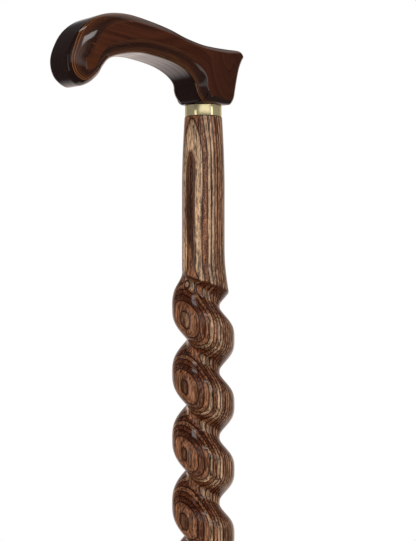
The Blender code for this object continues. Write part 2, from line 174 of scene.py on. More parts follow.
class Graph:
    """The nodes of one material or world."""

    def __init__(self, tree: bpy.types.NodeTree) -> None:
        """Starts from an empty tree."""
        self.tree = tree
        tree.nodes.clear()

    def node(self, kind: str, settings: dict[str, Any] | None = None,
             inputs: dict[Any, Any] | None = None) -> bpy.types.Node:
        """Adds a node.

        Args:
            kind: The node's type.
            settings: Properties set first; "stops" are a colour ramp's places and colours.
            inputs: Values, sockets or Values for the inputs, by name or by number.

        Returns:
            The new node.
        """
        node = self.tree.nodes.new(kind)
        for name, setting in (settings or {}).items():
            if name == "stops":
                self._set_stops(node.color_ramp, setting)
            else:
                setattr(node, name, setting)
        for name, value in (inputs or {}).items():
            self._feed(node.inputs[name], value)
        return node

    def _feed(self, target: bpy.types.NodeSocket, value: Any) -> None:
        """Fills an input.

        Args:
            target: The input.
            value: A Value or a socket, which is linked, or a plain value, which is written.
        """
        if isinstance(value, Value):
            value = value.socket
        if isinstance(value, bpy.types.NodeSocket):
            self.tree.links.new(value, target)
        elif isinstance(value, tuple) and len(value) == 3 and target.type == "RGBA":
            target.default_value = (*value, 1.0)
        else:
            target.default_value = value

    @staticmethod
    def _set_stops(ramp: bpy.types.ColorRamp, stops: Stops) -> None:
        """Gives a colour ramp its stops.

        Args:
            ramp: The ramp, with two stops of its own.
            stops: Places and colours, two or more.
        """
        while len(ramp.elements) < len(stops):
            ramp.elements.new(1.0)
        for element, (place, colour) in zip(ramp.elements, stops):
            element.position = place
            element.color = (*colour, 1.0)

    def math(self, operation: str, *operands: Operand) -> Value:
        """One step of arithmetic."""
        node = self.node("ShaderNodeMath", {"operation": operation}, dict(enumerate(operands)))
        return Value(self, node.outputs[0])

    def vector(self, x: Operand, y: Operand, z: Operand) -> bpy.types.NodeSocket:
        """A vector of three values."""
        return self.node("ShaderNodeCombineXYZ", inputs={0: x, 1: y, 2: z}).outputs[0]

    def share_along(self, direction: bpy.types.NodeSocket, axis: Vector) -> Value:
        """How far a direction points along an axis, from -1 to 1."""
        node = self.node("ShaderNodeVectorMath", {"operation": "DOT_PRODUCT"},
                         {0: direction, 1: tuple(axis)})
        return Value(self, node.outputs["Value"])

    def chance(self, value: Value) -> Value:
        """A random value from 0 to 1 for each whole number."""
        node = self.node("ShaderNodeTexWhiteNoise", {"noise_dimensions": "1D"}, {"W": value})
        return Value(self, node.outputs["Value"])

    def mix(self, factor: Any, first: Any, second: Any, blend: str = "MIX") -> Any:
        """A colour between two, or one laid on another by a blend mode.

        Args:
            factor: Share of the second colour.
            first: The colour below, as a socket or three numbers.
            second: The colour on top.
            blend: Blender's name of the mode.

        Returns:
            The socket of the colour.
        """
        node = self.node("ShaderNodeMix", {"data_type": "RGBA", "blend_type": blend},
                         {0: factor, 6: first, 7: second})
        return node.outputs[2]

    def ramp(self, value: Value, stops: Stops,
             interpolation: str = "LINEAR") -> bpy.types.NodeSocket:
        """A colour read from a ramp.

        Args:
            value: Where the ramp is read.
            stops: The ramp's places and colours.
            interpolation: Blender's name of the way between two stops.

        Returns:
            The socket of the colour.
        """
        node = self.node("ShaderNodeValToRGB", {"stops": stops}, {0: value})
        node.color_ramp.interpolation = interpolation
        return node.outputs["Color"]

    def grey(self, value: Value) -> bpy.types.NodeSocket:
        """A grey from a value, as a colour."""
        shares = {0: value, 1: value, 2: value}
        return self.node("ShaderNodeCombineColor", inputs=shares).outputs[0]

    def attribute(self, name: str) -> Value:
        """A number that the mesh carries."""
        node = self.node("ShaderNodeAttribute", {"attribute_name": name})
        return Value(self, node.outputs["Fac"])

    def millimetres(self) -> tuple[Value, Value, Value]:
        """Reads the object coordinates.

        Returns:
            x, y and z in millimetres.
        """
        place = self.node("ShaderNodeTexCoord").outputs["Object"]
        scaled = self.node("ShaderNodeVectorMath", {"operation": "SCALE"},
                           {"Vector": place, "Scale": 1.0 / MM}).outputs["Vector"]
        parts = self.node("ShaderNodeSeparateXYZ", inputs={0: scaled})
        return tuple(Value(self, parts.outputs[axis]) for axis in range(3))

    def rays(self) -> tuple[Value, Value]:
        """Tells two kinds of rays from the rest.

        Returns:
            1 for rays from the camera, and 1 for rays that gloss or glass sends on.
        """
        node = self.node("ShaderNodeLightPath")
        seen, glossy, through = (Value(self, node.outputs[f"Is {kind} Ray"])
                                 for kind in ("Camera", "Glossy", "Transmission"))
        return seen, self.math("MAXIMUM", glossy, through)

    def bump(self, height: Value, strength: float, distance: float) -> bpy.types.NodeSocket:
        """A normal from a height map.

        Args:
            height: The height, about 0 to 1.
            strength: Share of the effect.
            distance: Metres that a height of 1 stands for.

        Returns:
            The socket of the normal.
        """
        node = self.node("ShaderNodeBump", inputs={"Height": height, "Strength": strength,
                                                   "Distance": distance})
        return node.outputs["Normal"]

    def surface(self, inputs: dict[str, Any]) -> None:
        """Ends a material in a Principled shader."""
        shader = self.node("ShaderNodeBsdfPrincipled", inputs=inputs)
        self.node("ShaderNodeOutputMaterial", inputs={"Surface": shader.outputs[0]})


@dataclass(frozen=True)
class Fade:
    """A share that grows from nothing at the start to the whole at the end, with level ends."""

    start: float
    end: float
    share: float = 1.0

    def of(self, value: Value) -> Value:
        """Reads the share.

        Args:
            value: Where it is read. The start may lie above the end.

        Returns:
            The share there, which keeps its last value beyond both ends.
        """
        rising = self.start < self.end
        node = value.graph.node(
            "ShaderNodeMapRange", {"interpolation_type": "SMOOTHSTEP"},
            {"Value": value, "From Min": min(self.start, self.end),
             "From Max": max(self.start, self.end), "To Min": 0.0 if rising else self.share,
             "To Max": self.share if rising else 0.0})
        return Value(value.graph, node.outputs["Result"])


@dataclass(frozen=True)
class Noise:
    """A noise: how quickly it changes along each axis, per millimetre, and how fine it is.

    Along the shifted axes each sheet of wood reads its own part of the noise.
    """

    scale: tuple[float, float, float]
    detail: float = 2.0
    roughness: float = 0.5
    distortion: float = 0.0
    shifted: tuple[int, ...] = ()

    def at(self, place: tuple[Value, Value, Value], shift: Operand = 0.0) -> Value:
        """Reads the noise.

        Args:
            place: Where it is read, in millimetres.
            shift: How far the sheet's own part lies away, on the shifted axes.

        Returns:
            A value from 0 to 1, mostly near 0.5.
        """
        graph = place[0].graph
        parts = [part * scale + shift if axis in self.shifted else part * scale
                 for axis, (part, scale) in enumerate(zip(place, self.scale))]
        node = graph.node("ShaderNodeTexNoise", {"noise_dimensions": "3D"},
                          {"Vector": graph.vector(*parts), "Scale": 1.0, "Detail": self.detail,
                           "Roughness": self.roughness, "Distortion": self.distortion})
        return Value(graph, node.outputs["Fac"])


def new_material(name: str) -> tuple[bpy.types.Material, Graph]:
    """Makes a material with an empty graph.

    Args:
        name: Its name.

    Returns:
        The material and its graph.
    """
    material = bpy.data.materials.new(name)
    material.use_nodes = True
    return material, Graph(material.node_tree)


# Finishes


class Tone(Enum):
    """Colours of the stained veneers."""

    STRAW = (0.620, 0.390, 0.230)
    SAND = (0.560, 0.345, 0.205)
    GREY_TAN = (0.380, 0.215, 0.130)
    TAN = (0.370, 0.190, 0.100)
    ROSE = (0.340, 0.160, 0.092)
    RUSSET = (0.390, 0.165, 0.082)
    HONEY = (0.320, 0.130, 0.062)
    CHESTNUT = (0.250, 0.098, 0.047)
    UMBER = (0.165, 0.062, 0.032)


@dataclass(frozen=True)
class VeneerPoint:
    """What the shader knows of a point of the glued veneers.

    Across and along are counted from the shaft's axis, level with the floor, and z over the floor.
    The place in the stack is counted in sheets, and its whole part is the sheet's number. The
    rest is the grain: fibres, streaks, growth rings, flecks, and the pores and ticks in them.
    """

    across: Value
    along: Value
    z: Value
    stack: Value
    number: Value
    fibre: Value
    streak: Value
    rings: Value
    fleck: Value
    pores: Value
    ticks: Value


@dataclass(frozen=True)
class LaminatedWood:
    """Stained veneers glued side by side, varnished; the glue lines show as dark contours.

    Lengths are in millimetres, as the shader counts them. A cover is the share of what lies
    below that a mark hides. Weights start with a plain number, and each of the others belongs
    to a kind of grain.
    """

    sheets_face: float = math.radians(-169.0)
    sheet: float = 1.965
    first_line: float = -0.95
    bends: tuple[Fade, ...] = (
        Fade(838.0, 866.0, 1.15), Fade(765.0, 838.0, -0.28), Fade(732.0, 708.0, 0.245))
    wander: float = 0.9
    own_grain: float = 91.0
    sway: Noise = Noise((0.06, 0.06, 0.02), detail=3.0)
    fibre: Noise = Noise((1.25, 1.6, 0.045), roughness=0.7, shifted=(0, 2))
    streak: Noise = Noise((0.62, 0.62, 0.016), roughness=0.6, shifted=(0, 2))
    figure: Noise = Noise((0.25, 0.14, 0.008), distortion=0.4, shifted=(0, 2))
    fleck: Noise = Noise((1.5, 1.5, 0.24), roughness=0.7, shifted=(0,))
    cells: Noise = Noise((1.7, 1.7, 0.9), detail=1.0)
    growth_rings: float = 34.0
    pores: Fade = Fade(0.53, 0.62)
    pore_cover: float = 0.72
    ticks: Fade = Fade(0.46, 0.36)
    tick_cover: float = 0.20
    fraying: float = 0.25
    glue_line: Fade = Fade(0.27, 0.081)
    glue_line_least_slope: float = 0.09
    glue_line_cover: float = 0.95
    dyed: Fade = Fade(0.75, 0.0)
    dyed_slope: tuple[float, float] = (0.8, 0.2)
    dyed_cover: float = 0.75
    cell_sheet: float = 5.0
    cell_marks: Fade = Fade(0.48, 0.62, 0.80)
    heart_sheet: float = 7.0
    heart_foot: Fade = Fade(781.0, 790.0)
    heart_foot_fraying: float = 22.0
    heart_waning: Fade = Fade(850.0, 799.0, 0.45)
    heart_least: float = 0.55
    heart_cover: Weights = (0.62, 0.4)
    heart_side: Fade = Fade(-0.02, 0.10)
    heart_side_fraying: float = 0.2
    heart_bare_line: Fade = Fade(822.0, 838.0)
    crest_above_sheet: float = 9.5
    crest_below: Fade = Fade(725.0, 715.0)
    crest_cover: Weights = (0.30, 0.7)
    light_streaks: Fade = Fade(0.36, 0.64, 0.42)
    light_fibres: Fade = Fade(0.39, 0.61, 0.70)
    light: Weights = (-0.10, 0.40, 0.46)
    glue: Colour = (0.017, 0.0052, 0.0028)
    stain: Colour = (0.060, 0.0155, 0.0060)
    # Groove darkening: partly stain, partly painted shade.
    groove_stain_and_shade_tint: Colour = (0.40, 0.240, 0.175)
    groove_stain_and_shade_cover: float = 0.95
    # Painted shade under the neck's edge.
    painted_shade_under_edge_cover: float = 0.85
    eye: tuple[float, float] = (-3.6, 761.9)
    eye_height: float = 0.85
    eye_radius: float = 1.9
    eye_softness: float = 0.3
    eye_rim: Fade = Fade(0.75, 0.30, 0.95)
    eye_tone: Colour = (0.400, 0.210, 0.135)
    eye_pore_cover: float = 0.7
    far_off: float = 99.0
    relief: float = 0.40
    relief_depth: float = 0.2 * MM
    relief_grain: Weights = (0.0, 0.5, 0.3, -0.5, -0.4)
    roughness: Weights = (0.42, 0.12, 0.1)
    coat: float = 0.60
    coat_roughness: float = 0.13
    lowest_sheet: int = -10
    sheets: tuple[Tone, ...] = (
        Tone.TAN, Tone.CHESTNUT, Tone.SAND, Tone.RUSSET, Tone.TAN, Tone.UMBER, Tone.SAND,
        Tone.CHESTNUT, Tone.GREY_TAN, Tone.TAN,
        Tone.GREY_TAN, Tone.TAN, Tone.ROSE, Tone.SAND, Tone.SAND, Tone.RUSSET, Tone.STRAW,
        Tone.HONEY, Tone.UMBER, Tone.HONEY, Tone.TAN,
    )

    def facing(self) -> Vector:
        """The direction that the sheets face."""
        return Vector((math.cos(self.sheets_face), math.sin(self.sheets_face), 0.0))

    def material(self) -> bpy.types.Material:
        """Builds the material.

        Returns:
            The material, which reads object coordinates and the marks that the shaft carries.
        """
        material, graph = new_material("laminated_wood")
        point = self._point(graph)
        line, dyed = self._lines(graph, point)
        marks = (
            (self._heart(graph, point) * weighted(self.heart_cover, point.streak), self.glue),
            (self._crest(graph, point) * weighted(self.crest_cover, point.streak), self.stain),
            (dyed * self.dyed_cover, self.stain),
            (line * self.glue_line_cover, self.glue),
        )
        wood = self._bare_wood(graph, point)
        for cover, colour in marks:
            wood = graph.mix(cover, wood, colour)
        # Stain and painted shade: the groove is darkened by its depth and flank, and the middle of
        # its floor is left bare.
        tinted = graph.mix(1.0, wood, self.groove_stain_and_shade_tint, "MULTIPLY")
        wood = graph.mix(graph.attribute("groove") * self.groove_stain_and_shade_cover, wood, tinted)
        # Painted shade: the band under the neck's edge gets the stain colour.
        wood = graph.mix(graph.attribute("cut_edge") * self.painted_shade_under_edge_cover, wood, self.stain)
        height = weighted(self.relief_grain, point.fibre, point.streak, point.pores, line)
        graph.surface({
            "Base Color": self._with_eye(graph, point, wood), "Specular IOR Level": 0.0,
            "Roughness": weighted(self.roughness, point.fibre, line),
            "Normal": graph.bump(height, self.relief, self.relief_depth),
            "Coat Weight": self.coat, "Coat Roughness": self.coat_roughness,
        })
        return material

    def _point(self, graph: Graph) -> VeneerPoint:
        """Reads where a point lies in the stack of sheets, and its grain.

        Args:
            graph: The material's graph.

        Returns:
            The point.
        """
        x, y, z = graph.millimetres()
        facing = self.facing()
        across = x * facing.x + y * facing.y
        along = x * -facing.y + y * facing.x
        place = (across, along, z)
        bend = sum(part.of(z) for part in self.bends)
        depth = across - bend + (self.sway.at(place) - 0.5) * self.wander
        stack = (depth - self.first_line) / self.sheet
        number = graph.math("FLOOR", stack)
        shift = graph.chance(number) * self.own_grain
        fleck = self.fleck.at(place, shift)
        figure = self.figure.at(place, shift) * self.growth_rings
        return VeneerPoint(
            across=across, along=along, z=z, stack=stack, number=number,
            fibre=self.fibre.at(place, shift), streak=self.streak.at(place, shift),
            rings=graph.math("SINE", figure) * 0.5 + 0.5, fleck=fleck,
            pores=self.pores.of(fleck), ticks=self.ticks.of(fleck))

    def _lines(self, graph: Graph, point: VeneerPoint) -> tuple[Value, Value]:
        """Finds the glue lines, which are broader where the sheets are cut at a low angle.

        Args:
            graph: The material's graph.
            point: The point of the veneers.

        Returns:
            1 on a glue line, and 1 fading to 0 in the dyed wood beside it.
        """
        slope = graph.attribute("slope")
        frayed = (point.fibre - 0.5) * self.fraying + (point.fleck - 0.5) * self.fraying
        to_line = (0.5 - abs(point.stack - point.number - 0.5)) * self.sheet
        beside_heart = graph.math("LESS_THAN", abs(point.stack - self.heart_sheet), 0.5)
        bare = beside_heart * self.heart_bare_line.of(point.z)
        line = self.glue_line.of(to_line / (slope + self.glue_line_least_slope) + frayed)
        growth, least = self.dyed_slope
        dyed = self.dyed.of(to_line / (slope * growth + least) + frayed)
        return line * (1.0 - bare), dyed

    def _heart(self, graph: Graph, point: VeneerPoint) -> Value:
        """The dark heart of the neck's middle sheet, which wanes upwards.

        Args:
            graph: The material's graph.
            point: The point of the veneers.

        Returns:
            1 in the heart, 0 outside.
        """
        foot = self.heart_foot.of(point.z + (point.streak - 0.5) * self.heart_foot_fraying)
        side = self.heart_side.of(point.stack - self.heart_sheet
                                  + (point.fibre - 0.5) * self.heart_side_fraying)
        waning = self.heart_least + self.heart_waning.of(point.z)
        return self._in_sheet(graph, point, self.heart_sheet) * foot * waning * side

    def _crest(self, graph: Graph, point: VeneerPoint) -> Value:
        """The outermost sheets, which are darker low down, where they make the ridge's crests."""
        outer = graph.math("GREATER_THAN", point.number, self.crest_above_sheet)
        return outer * self.crest_below.of(point.z)

    @staticmethod
    def _in_sheet(graph: Graph, point: VeneerPoint, number: float) -> Value:
        """1 in the sheet of a number, 0 in the others."""
        return graph.math("LESS_THAN", abs(point.number - number), 0.5)

    def _bare_wood(self, graph: Graph, point: VeneerPoint) -> bpy.types.NodeSocket:
        """Colours the sheets, each with its own tone and grain.

        Args:
            graph: The material's graph.
            point: The point of the veneers.

        Returns:
            The socket of the colour.
        """
        count = len(self.sheets)
        stops = [(index / count, tone.value) for index, tone in enumerate(self.sheets)]
        key = (point.number - self.lowest_sheet + 0.5) / count
        light = (self.light_streaks.of(point.streak) + self.light_fibres.of(point.fibre)
                 + weighted(self.light, point.rings, point.ticks))
        grained = graph.mix(1.0, graph.ramp(key, stops, "CONSTANT"), graph.grey(light), "MULTIPLY")
        ticked = graph.mix(point.ticks * self.tick_cover, grained, Tone.SAND.value)
        cells = self.cell_marks.of(self.cells.at((point.across, point.along, point.z)))
        in_cells = cells * self._in_sheet(graph, point, self.cell_sheet)
        return graph.mix(graph.math("MAXIMUM", point.pores * self.pore_cover, in_cells), ticked,
                         self.stain)

    def _with_eye(self, graph: Graph, point: VeneerPoint,
                  wood: bpy.types.NodeSocket) -> bpy.types.NodeSocket:
        """Lays the small round island of one sheet, just under the neck, over the wood.

        Args:
            graph: The material's graph.
            point: The point of the veneers.
            wood: The colour without the island.

        Returns:
            The socket of the colour.
        """
        middle_along, middle_z = self.eye
        sideways = point.along - middle_along
        high = (point.z - middle_z) * self.eye_height
        far_side = graph.math("LESS_THAN", point.across, 0.0) * self.far_off
        distance = graph.math("SQRT", sideways * sideways + high * high) + far_side
        inside = Fade(self.eye_radius, self.eye_radius - self.eye_softness).of(distance)
        rim = self.eye_rim.of(abs(distance - self.eye_radius))
        pupil = graph.mix(point.pores * self.eye_pore_cover, self.eye_tone, self.stain)
        return graph.mix(rim, graph.mix(inside, wood, pupil), self.glue)


@dataclass(frozen=True)
class Zone:
    """A part of the handle, by its place along it and its height over the seat."""

    x: Fade
    height: Fade

    def of(self, x: Value, height: Value) -> Value:
        """1 in the zone, 0 far from it."""
        return self.x.of(x) * self.height.of(height)


@dataclass(frozen=True)
class DarkWood:
    """Varnished veneers: a red-brown face, a darker one round its edges, a nearly black core.

    Lengths are in millimetres, as the shader counts them, and depths from the handle's face.
    A seam has a depth, half of its width and a share of the seam's colour.
    """

    face: Stops = ((0.22, (0.022, 0.0044, 0.0022)), (0.78, (0.087, 0.0220, 0.0078)))
    edge: Stops = ((0.36, (0.0120, 0.0040, 0.0030)), (0.62, (0.070, 0.0220, 0.0090)))
    core: Stops = ((0.40, (0.0105, 0.0038, 0.0029)), (0.68, (0.0200, 0.0074, 0.0052)))
    tail_tone: Colour = (0.0200, 0.0085, 0.0060)
    nose_tone: Colour = (0.120, 0.0340, 0.0110)
    neck_tone: Colour = (0.0200, 0.0095, 0.0075)
    seam: Colour = (0.300, 0.105, 0.030)
    seat: float = 870.2
    nose: float = -103.7
    half_width: float = 13.8
    widening: float = 0.0096
    depth_sway: float = 0.12
    deep_sway: float = 0.8
    flow_sway: float = 3.0
    tail: Fade = Fade(-14.0, 14.0, 0.32)
    low_nose: Zone = Zone(Fade(-74.0, -92.0), Fade(38.0, 20.0))
    neck_front: Zone = Zone(Fade(-25.0, -15.0), Fade(21.0, 13.0, 0.75))
    under_hook: Zone = Zone(Fade(-78.0, -88.0), Fade(16.0, 7.0, 0.6))
    past_face: Fade = Fade(0.08, 0.24)
    past_edge: Fade = Fade(4.45, 4.85)
    seams: tuple[tuple[float, float, float], ...] = (
        (0.22, 0.06, 0.07), (2.95, 0.10, 0.20), (3.70, 0.14, 0.75), (4.50, 0.13, 0.90))
    seam_core: float = 0.4
    face_seam_within: float = 1.0
    seam_gleam: Fade = Fade(0.75, 1.10, 0.65)
    seam_least: float = 0.45
    nose_thinning: float = 0.85
    nose_cover: float = 0.40
    arch_middle: float = -48.1
    arch_half_span: float = 33.0
    arch_height: float = 24.0
    arch_radius: float = 28.0
    arch_reach: Fade = Fade(9.0, 3.0)
    past_arch: Fade = Fade(-62.0, -4.0)
    knot: tuple[float, float] = (2.0, 17.0)
    knot_size: tuple[float, float] = (9.0, 15.0)
    knot_rise: Fade = Fade(1.6, 0.0, 7.0)
    nose_slant: float = 0.14
    sway: Noise = Noise((0.03, 0.02, 0.03))
    fine: Noise = Noise((0.035, 1.3, 1.9), detail=3.0, roughness=0.65)
    broad: Noise = Noise((0.012, 0.5, 0.42), roughness=0.6)
    wide: Noise = Noise((0.008, 0.0, 0.09), detail=1.0)
    bands: Noise = Noise((0.012, 1.1, 0.012), roughness=0.6)
    fleck: Noise = Noise((0.13, 0.6, 1.3), detail=1.0)
    fleck_marks: Fade = Fade(0.72, 0.78, 0.3)
    ripple: Noise = Noise((0.02, 0.8, 0.02), detail=3.0, roughness=0.65)
    dull_streaks: Fade = Fade(0.38, 0.66, 0.32)
    face_grain: Weights = (-0.52, 0.70, 0.85, 0.5)
    edge_grain: Weights = (0.0, 0.7, 0.3)
    relief: float = 0.12
    relief_depth: float = 0.1 * MM
    relief_grain: Weights = (0.0, 0.4, 0.4)
    roughness: Weights = (0.38, 0.15)
    coat: float = 1.0
    coat_roughness: float = 0.08

    def _flow(self, graph: Graph, x: Value, height: Value) -> Value:
        """Counts the growth lines, which bend round the arch and run straight in the nose.

        Args:
            graph: The material's graph.
            x: Place along the handle.
            height: Height over the seat.

        Returns:
            A number that stays the same along a line and grows by 1 a millimetre across it.
        """
        span = (x - self.arch_middle) / self.arch_half_span
        rise = height / self.arch_height
        arch = (graph.math("SQRT", span * span + rise * rise) - 1.0) * self.arch_radius
        side = (x - self.knot[0]) / self.knot_size[0]
        up = (height - self.knot[1]) / self.knot_size[1]
        arch = arch + self.knot_rise.of(side * side + up * up)
        near = graph.math("MAXIMUM", self.arch_reach.of(arch), self.past_arch.of(x))
        straight = height + x * self.nose_slant
        return straight + (arch - straight) * near

    def _seam_share(self, graph: Graph, depth: Value, deep: Value) -> Value:
        """Finds the seams between the veneers.

        Args:
            graph: The material's graph.
            depth: Depth under the face.
            deep: The same with the sway of the inner veneers.

        Returns:
            The share of the seam's colour, 0 between the seams.
        """
        share: Operand = 0.0
        for place, half_width, strength in self.seams:
            ruler = depth if place < self.face_seam_within else deep
            line = Fade(half_width, self.seam_core * half_width, strength).of(abs(ruler - place))
            share = graph.math("MAXIMUM", share, line)
        return share

    def material(self) -> bpy.types.Material:
        """Builds the material.

        Returns:
            The material, which reads object coordinates.
        """
        material, graph = new_material("dark_wood")
        x, y, z = graph.millimetres()
        height = z - self.seat
        sway = self.sway.at((x, y, z)) - 0.5
        half = (x - self.nose) * self.widening + self.half_width
        depth = half - abs(y) + sway * self.depth_sway
        low_nose = self.low_nose.of(x, height)
        deep = depth + sway * self.deep_sway + low_nose * self.nose_thinning
        flow = self._flow(graph, x, height) + sway * self.flow_sway
        fine, broad, wide, fleck = (noise.at((x, depth, flow)) for noise in
                                    (self.fine, self.broad, self.wide, self.fleck))
        face = graph.ramp(weighted(self.face_grain, fine, broad, wide), self.face)
        face = graph.mix(self.tail.of(x), face, self.tail_tone)
        face = graph.mix(low_nose * self.nose_cover, face, self.nose_tone)
        bands = self.bands.at((x, deep, z))
        edge = graph.ramp(weighted(self.edge_grain, bands, fine), self.edge)
        edge = graph.mix(self.neck_front.of(x, height), edge, self.neck_tone)
        in_core = self.past_edge.of(deep)
        wood = graph.mix(self.past_face.of(depth), face, edge)
        wood = graph.mix(in_core, wood, graph.ramp(fine, self.core))
        gleam = (self.seam_gleam.of(broad + fine) + self.seam_least
                 + self.under_hook.of(x, height))
        wood = graph.mix(self._seam_share(graph, depth, deep) * gleam, wood, self.seam)
        flecks = self.fleck_marks.of(fleck) * (1.0 - in_core)
        streaks = self.dull_streaks.of(self.ripple.at((x, y, z)))
        graph.surface({
            "Base Color": graph.mix(flecks, wood, self.seam),
            "Roughness": weighted(self.roughness, fine),
            "Normal": graph.bump(weighted(self.relief_grain, fine, broad), self.relief,
                                 self.relief_depth),
            "Specular IOR Level": 0.0, "Coat Weight": self.coat - streaks,
            "Coat Roughness": self.coat_roughness,
        })
        return material


@dataclass(frozen=True)
class Brass:
    """Turned brass, brushed round its axis, with a little tarnish."""

    name: str = "brass"
    clean: Colour = (0.97, 0.84, 0.50)
    tarnish: Colour = (0.70, 0.58, 0.25)
    edge_tint: Colour = (0.30, 0.25, 0.15)
    tarnish_cover: Weights = (0.0, 0.35, 0.2)
    roughness: float = 0.07
    dulling: float = 0.06
    metallic: float = 0.72
    specular: float = 0.1
    brushing: Noise = Noise((0.10, 0.10, 9.0), detail=3.0, roughness=0.7)
    cloud: Noise = Noise((0.16, 0.16, 0.30), detail=3.0)
    tarnished: Fade = Fade(0.50, 0.72)
    relief: float = 0.10
    relief_depth: float = 0.05 * MM

    def material(self) -> bpy.types.Material:
        """Builds the material.

        Returns:
            The material, which reads object coordinates.
        """
        material, graph = new_material(self.name)
        place = graph.millimetres()
        brushed = self.brushing.at(place)
        stain = self.tarnished.of(self.cloud.at(place))
        graph.surface({
            "Base Color": graph.mix(weighted(self.tarnish_cover, stain, brushed), self.clean,
                                    self.tarnish),
            "Metallic": self.metallic,
            "Roughness": self.roughness + (brushed + stain) * self.dulling,
            "Specular Tint": (*self.edge_tint, 1.0), "Specular IOR Level": self.specular,
            "Normal": graph.bump(brushed, self.relief, self.relief_depth),
        })
        return material


@dataclass(frozen=True)
class ZincSteel:
    """Zinc-plated steel with a faint spangle."""

    light: Colour = (0.58, 0.59, 0.60)
    dull: Colour = (0.40, 0.41, 0.43)
    spangle: Noise = Noise((0.5, 0.5, 0.5), detail=4.0)
    grit: Noise = Noise((6.0, 6.0, 6.0))
    roughness: Weights = (0.26, 0.20)
    relief: float = 0.15
    relief_depth: float = 0.03 * MM

    def material(self) -> bpy.types.Material:
        """Builds the material.

        Returns:
            The material, which reads object coordinates.
        """
        material, graph = new_material("zinc_steel")
        place = graph.millimetres()
        cloud = self.spangle.at(place)
        graph.surface({
            "Base Color": graph.mix(cloud, self.dull, self.light), "Metallic": 1.0,
            "Roughness": weighted(self.roughness, cloud),
            "Normal": graph.bump(self.grit.at(place), self.relief, self.relief_depth),
        })
        return material


@dataclass(frozen=True)
class MouldedRubber:
    """Black rubber with a fine moulded stipple, dusty where it meets the floor."""

    black: Colour = (0.016, 0.016, 0.017)
    dust: Colour = (0.085, 0.080, 0.074)
    low: Fade = Fade(6.0, 0.0, 0.5)
    dust_everywhere: float = 0.10
    stipple: Noise = Noise((3.2, 3.2, 3.2), detail=3.0, roughness=0.6)
    cloud: Noise = Noise((0.18, 0.18, 0.18), detail=4.0)
    dusty: Fade = Fade(0.42, 0.72)
    roughness: Weights = (0.58, 0.25)
    relief: float = 0.30
    relief_depth: float = 0.12 * MM

    def material(self) -> bpy.types.Material:
        """Builds the material.

        Returns:
            The material, which reads object coordinates.
        """
        material, graph = new_material("moulded_rubber")
        place = graph.millimetres()
        cloud = self.cloud.at(place)
        dusty = (self.low.of(place[2]) + self.dust_everywhere) * self.dusty.of(cloud)
        graph.surface({
            "Base Color": graph.mix(dusty, self.black, self.dust),
            "Roughness": weighted(self.roughness, cloud),
            "Normal": graph.bump(self.stipple.at(place), self.relief, self.relief_depth),
        })
        return material


# Work on a mesh


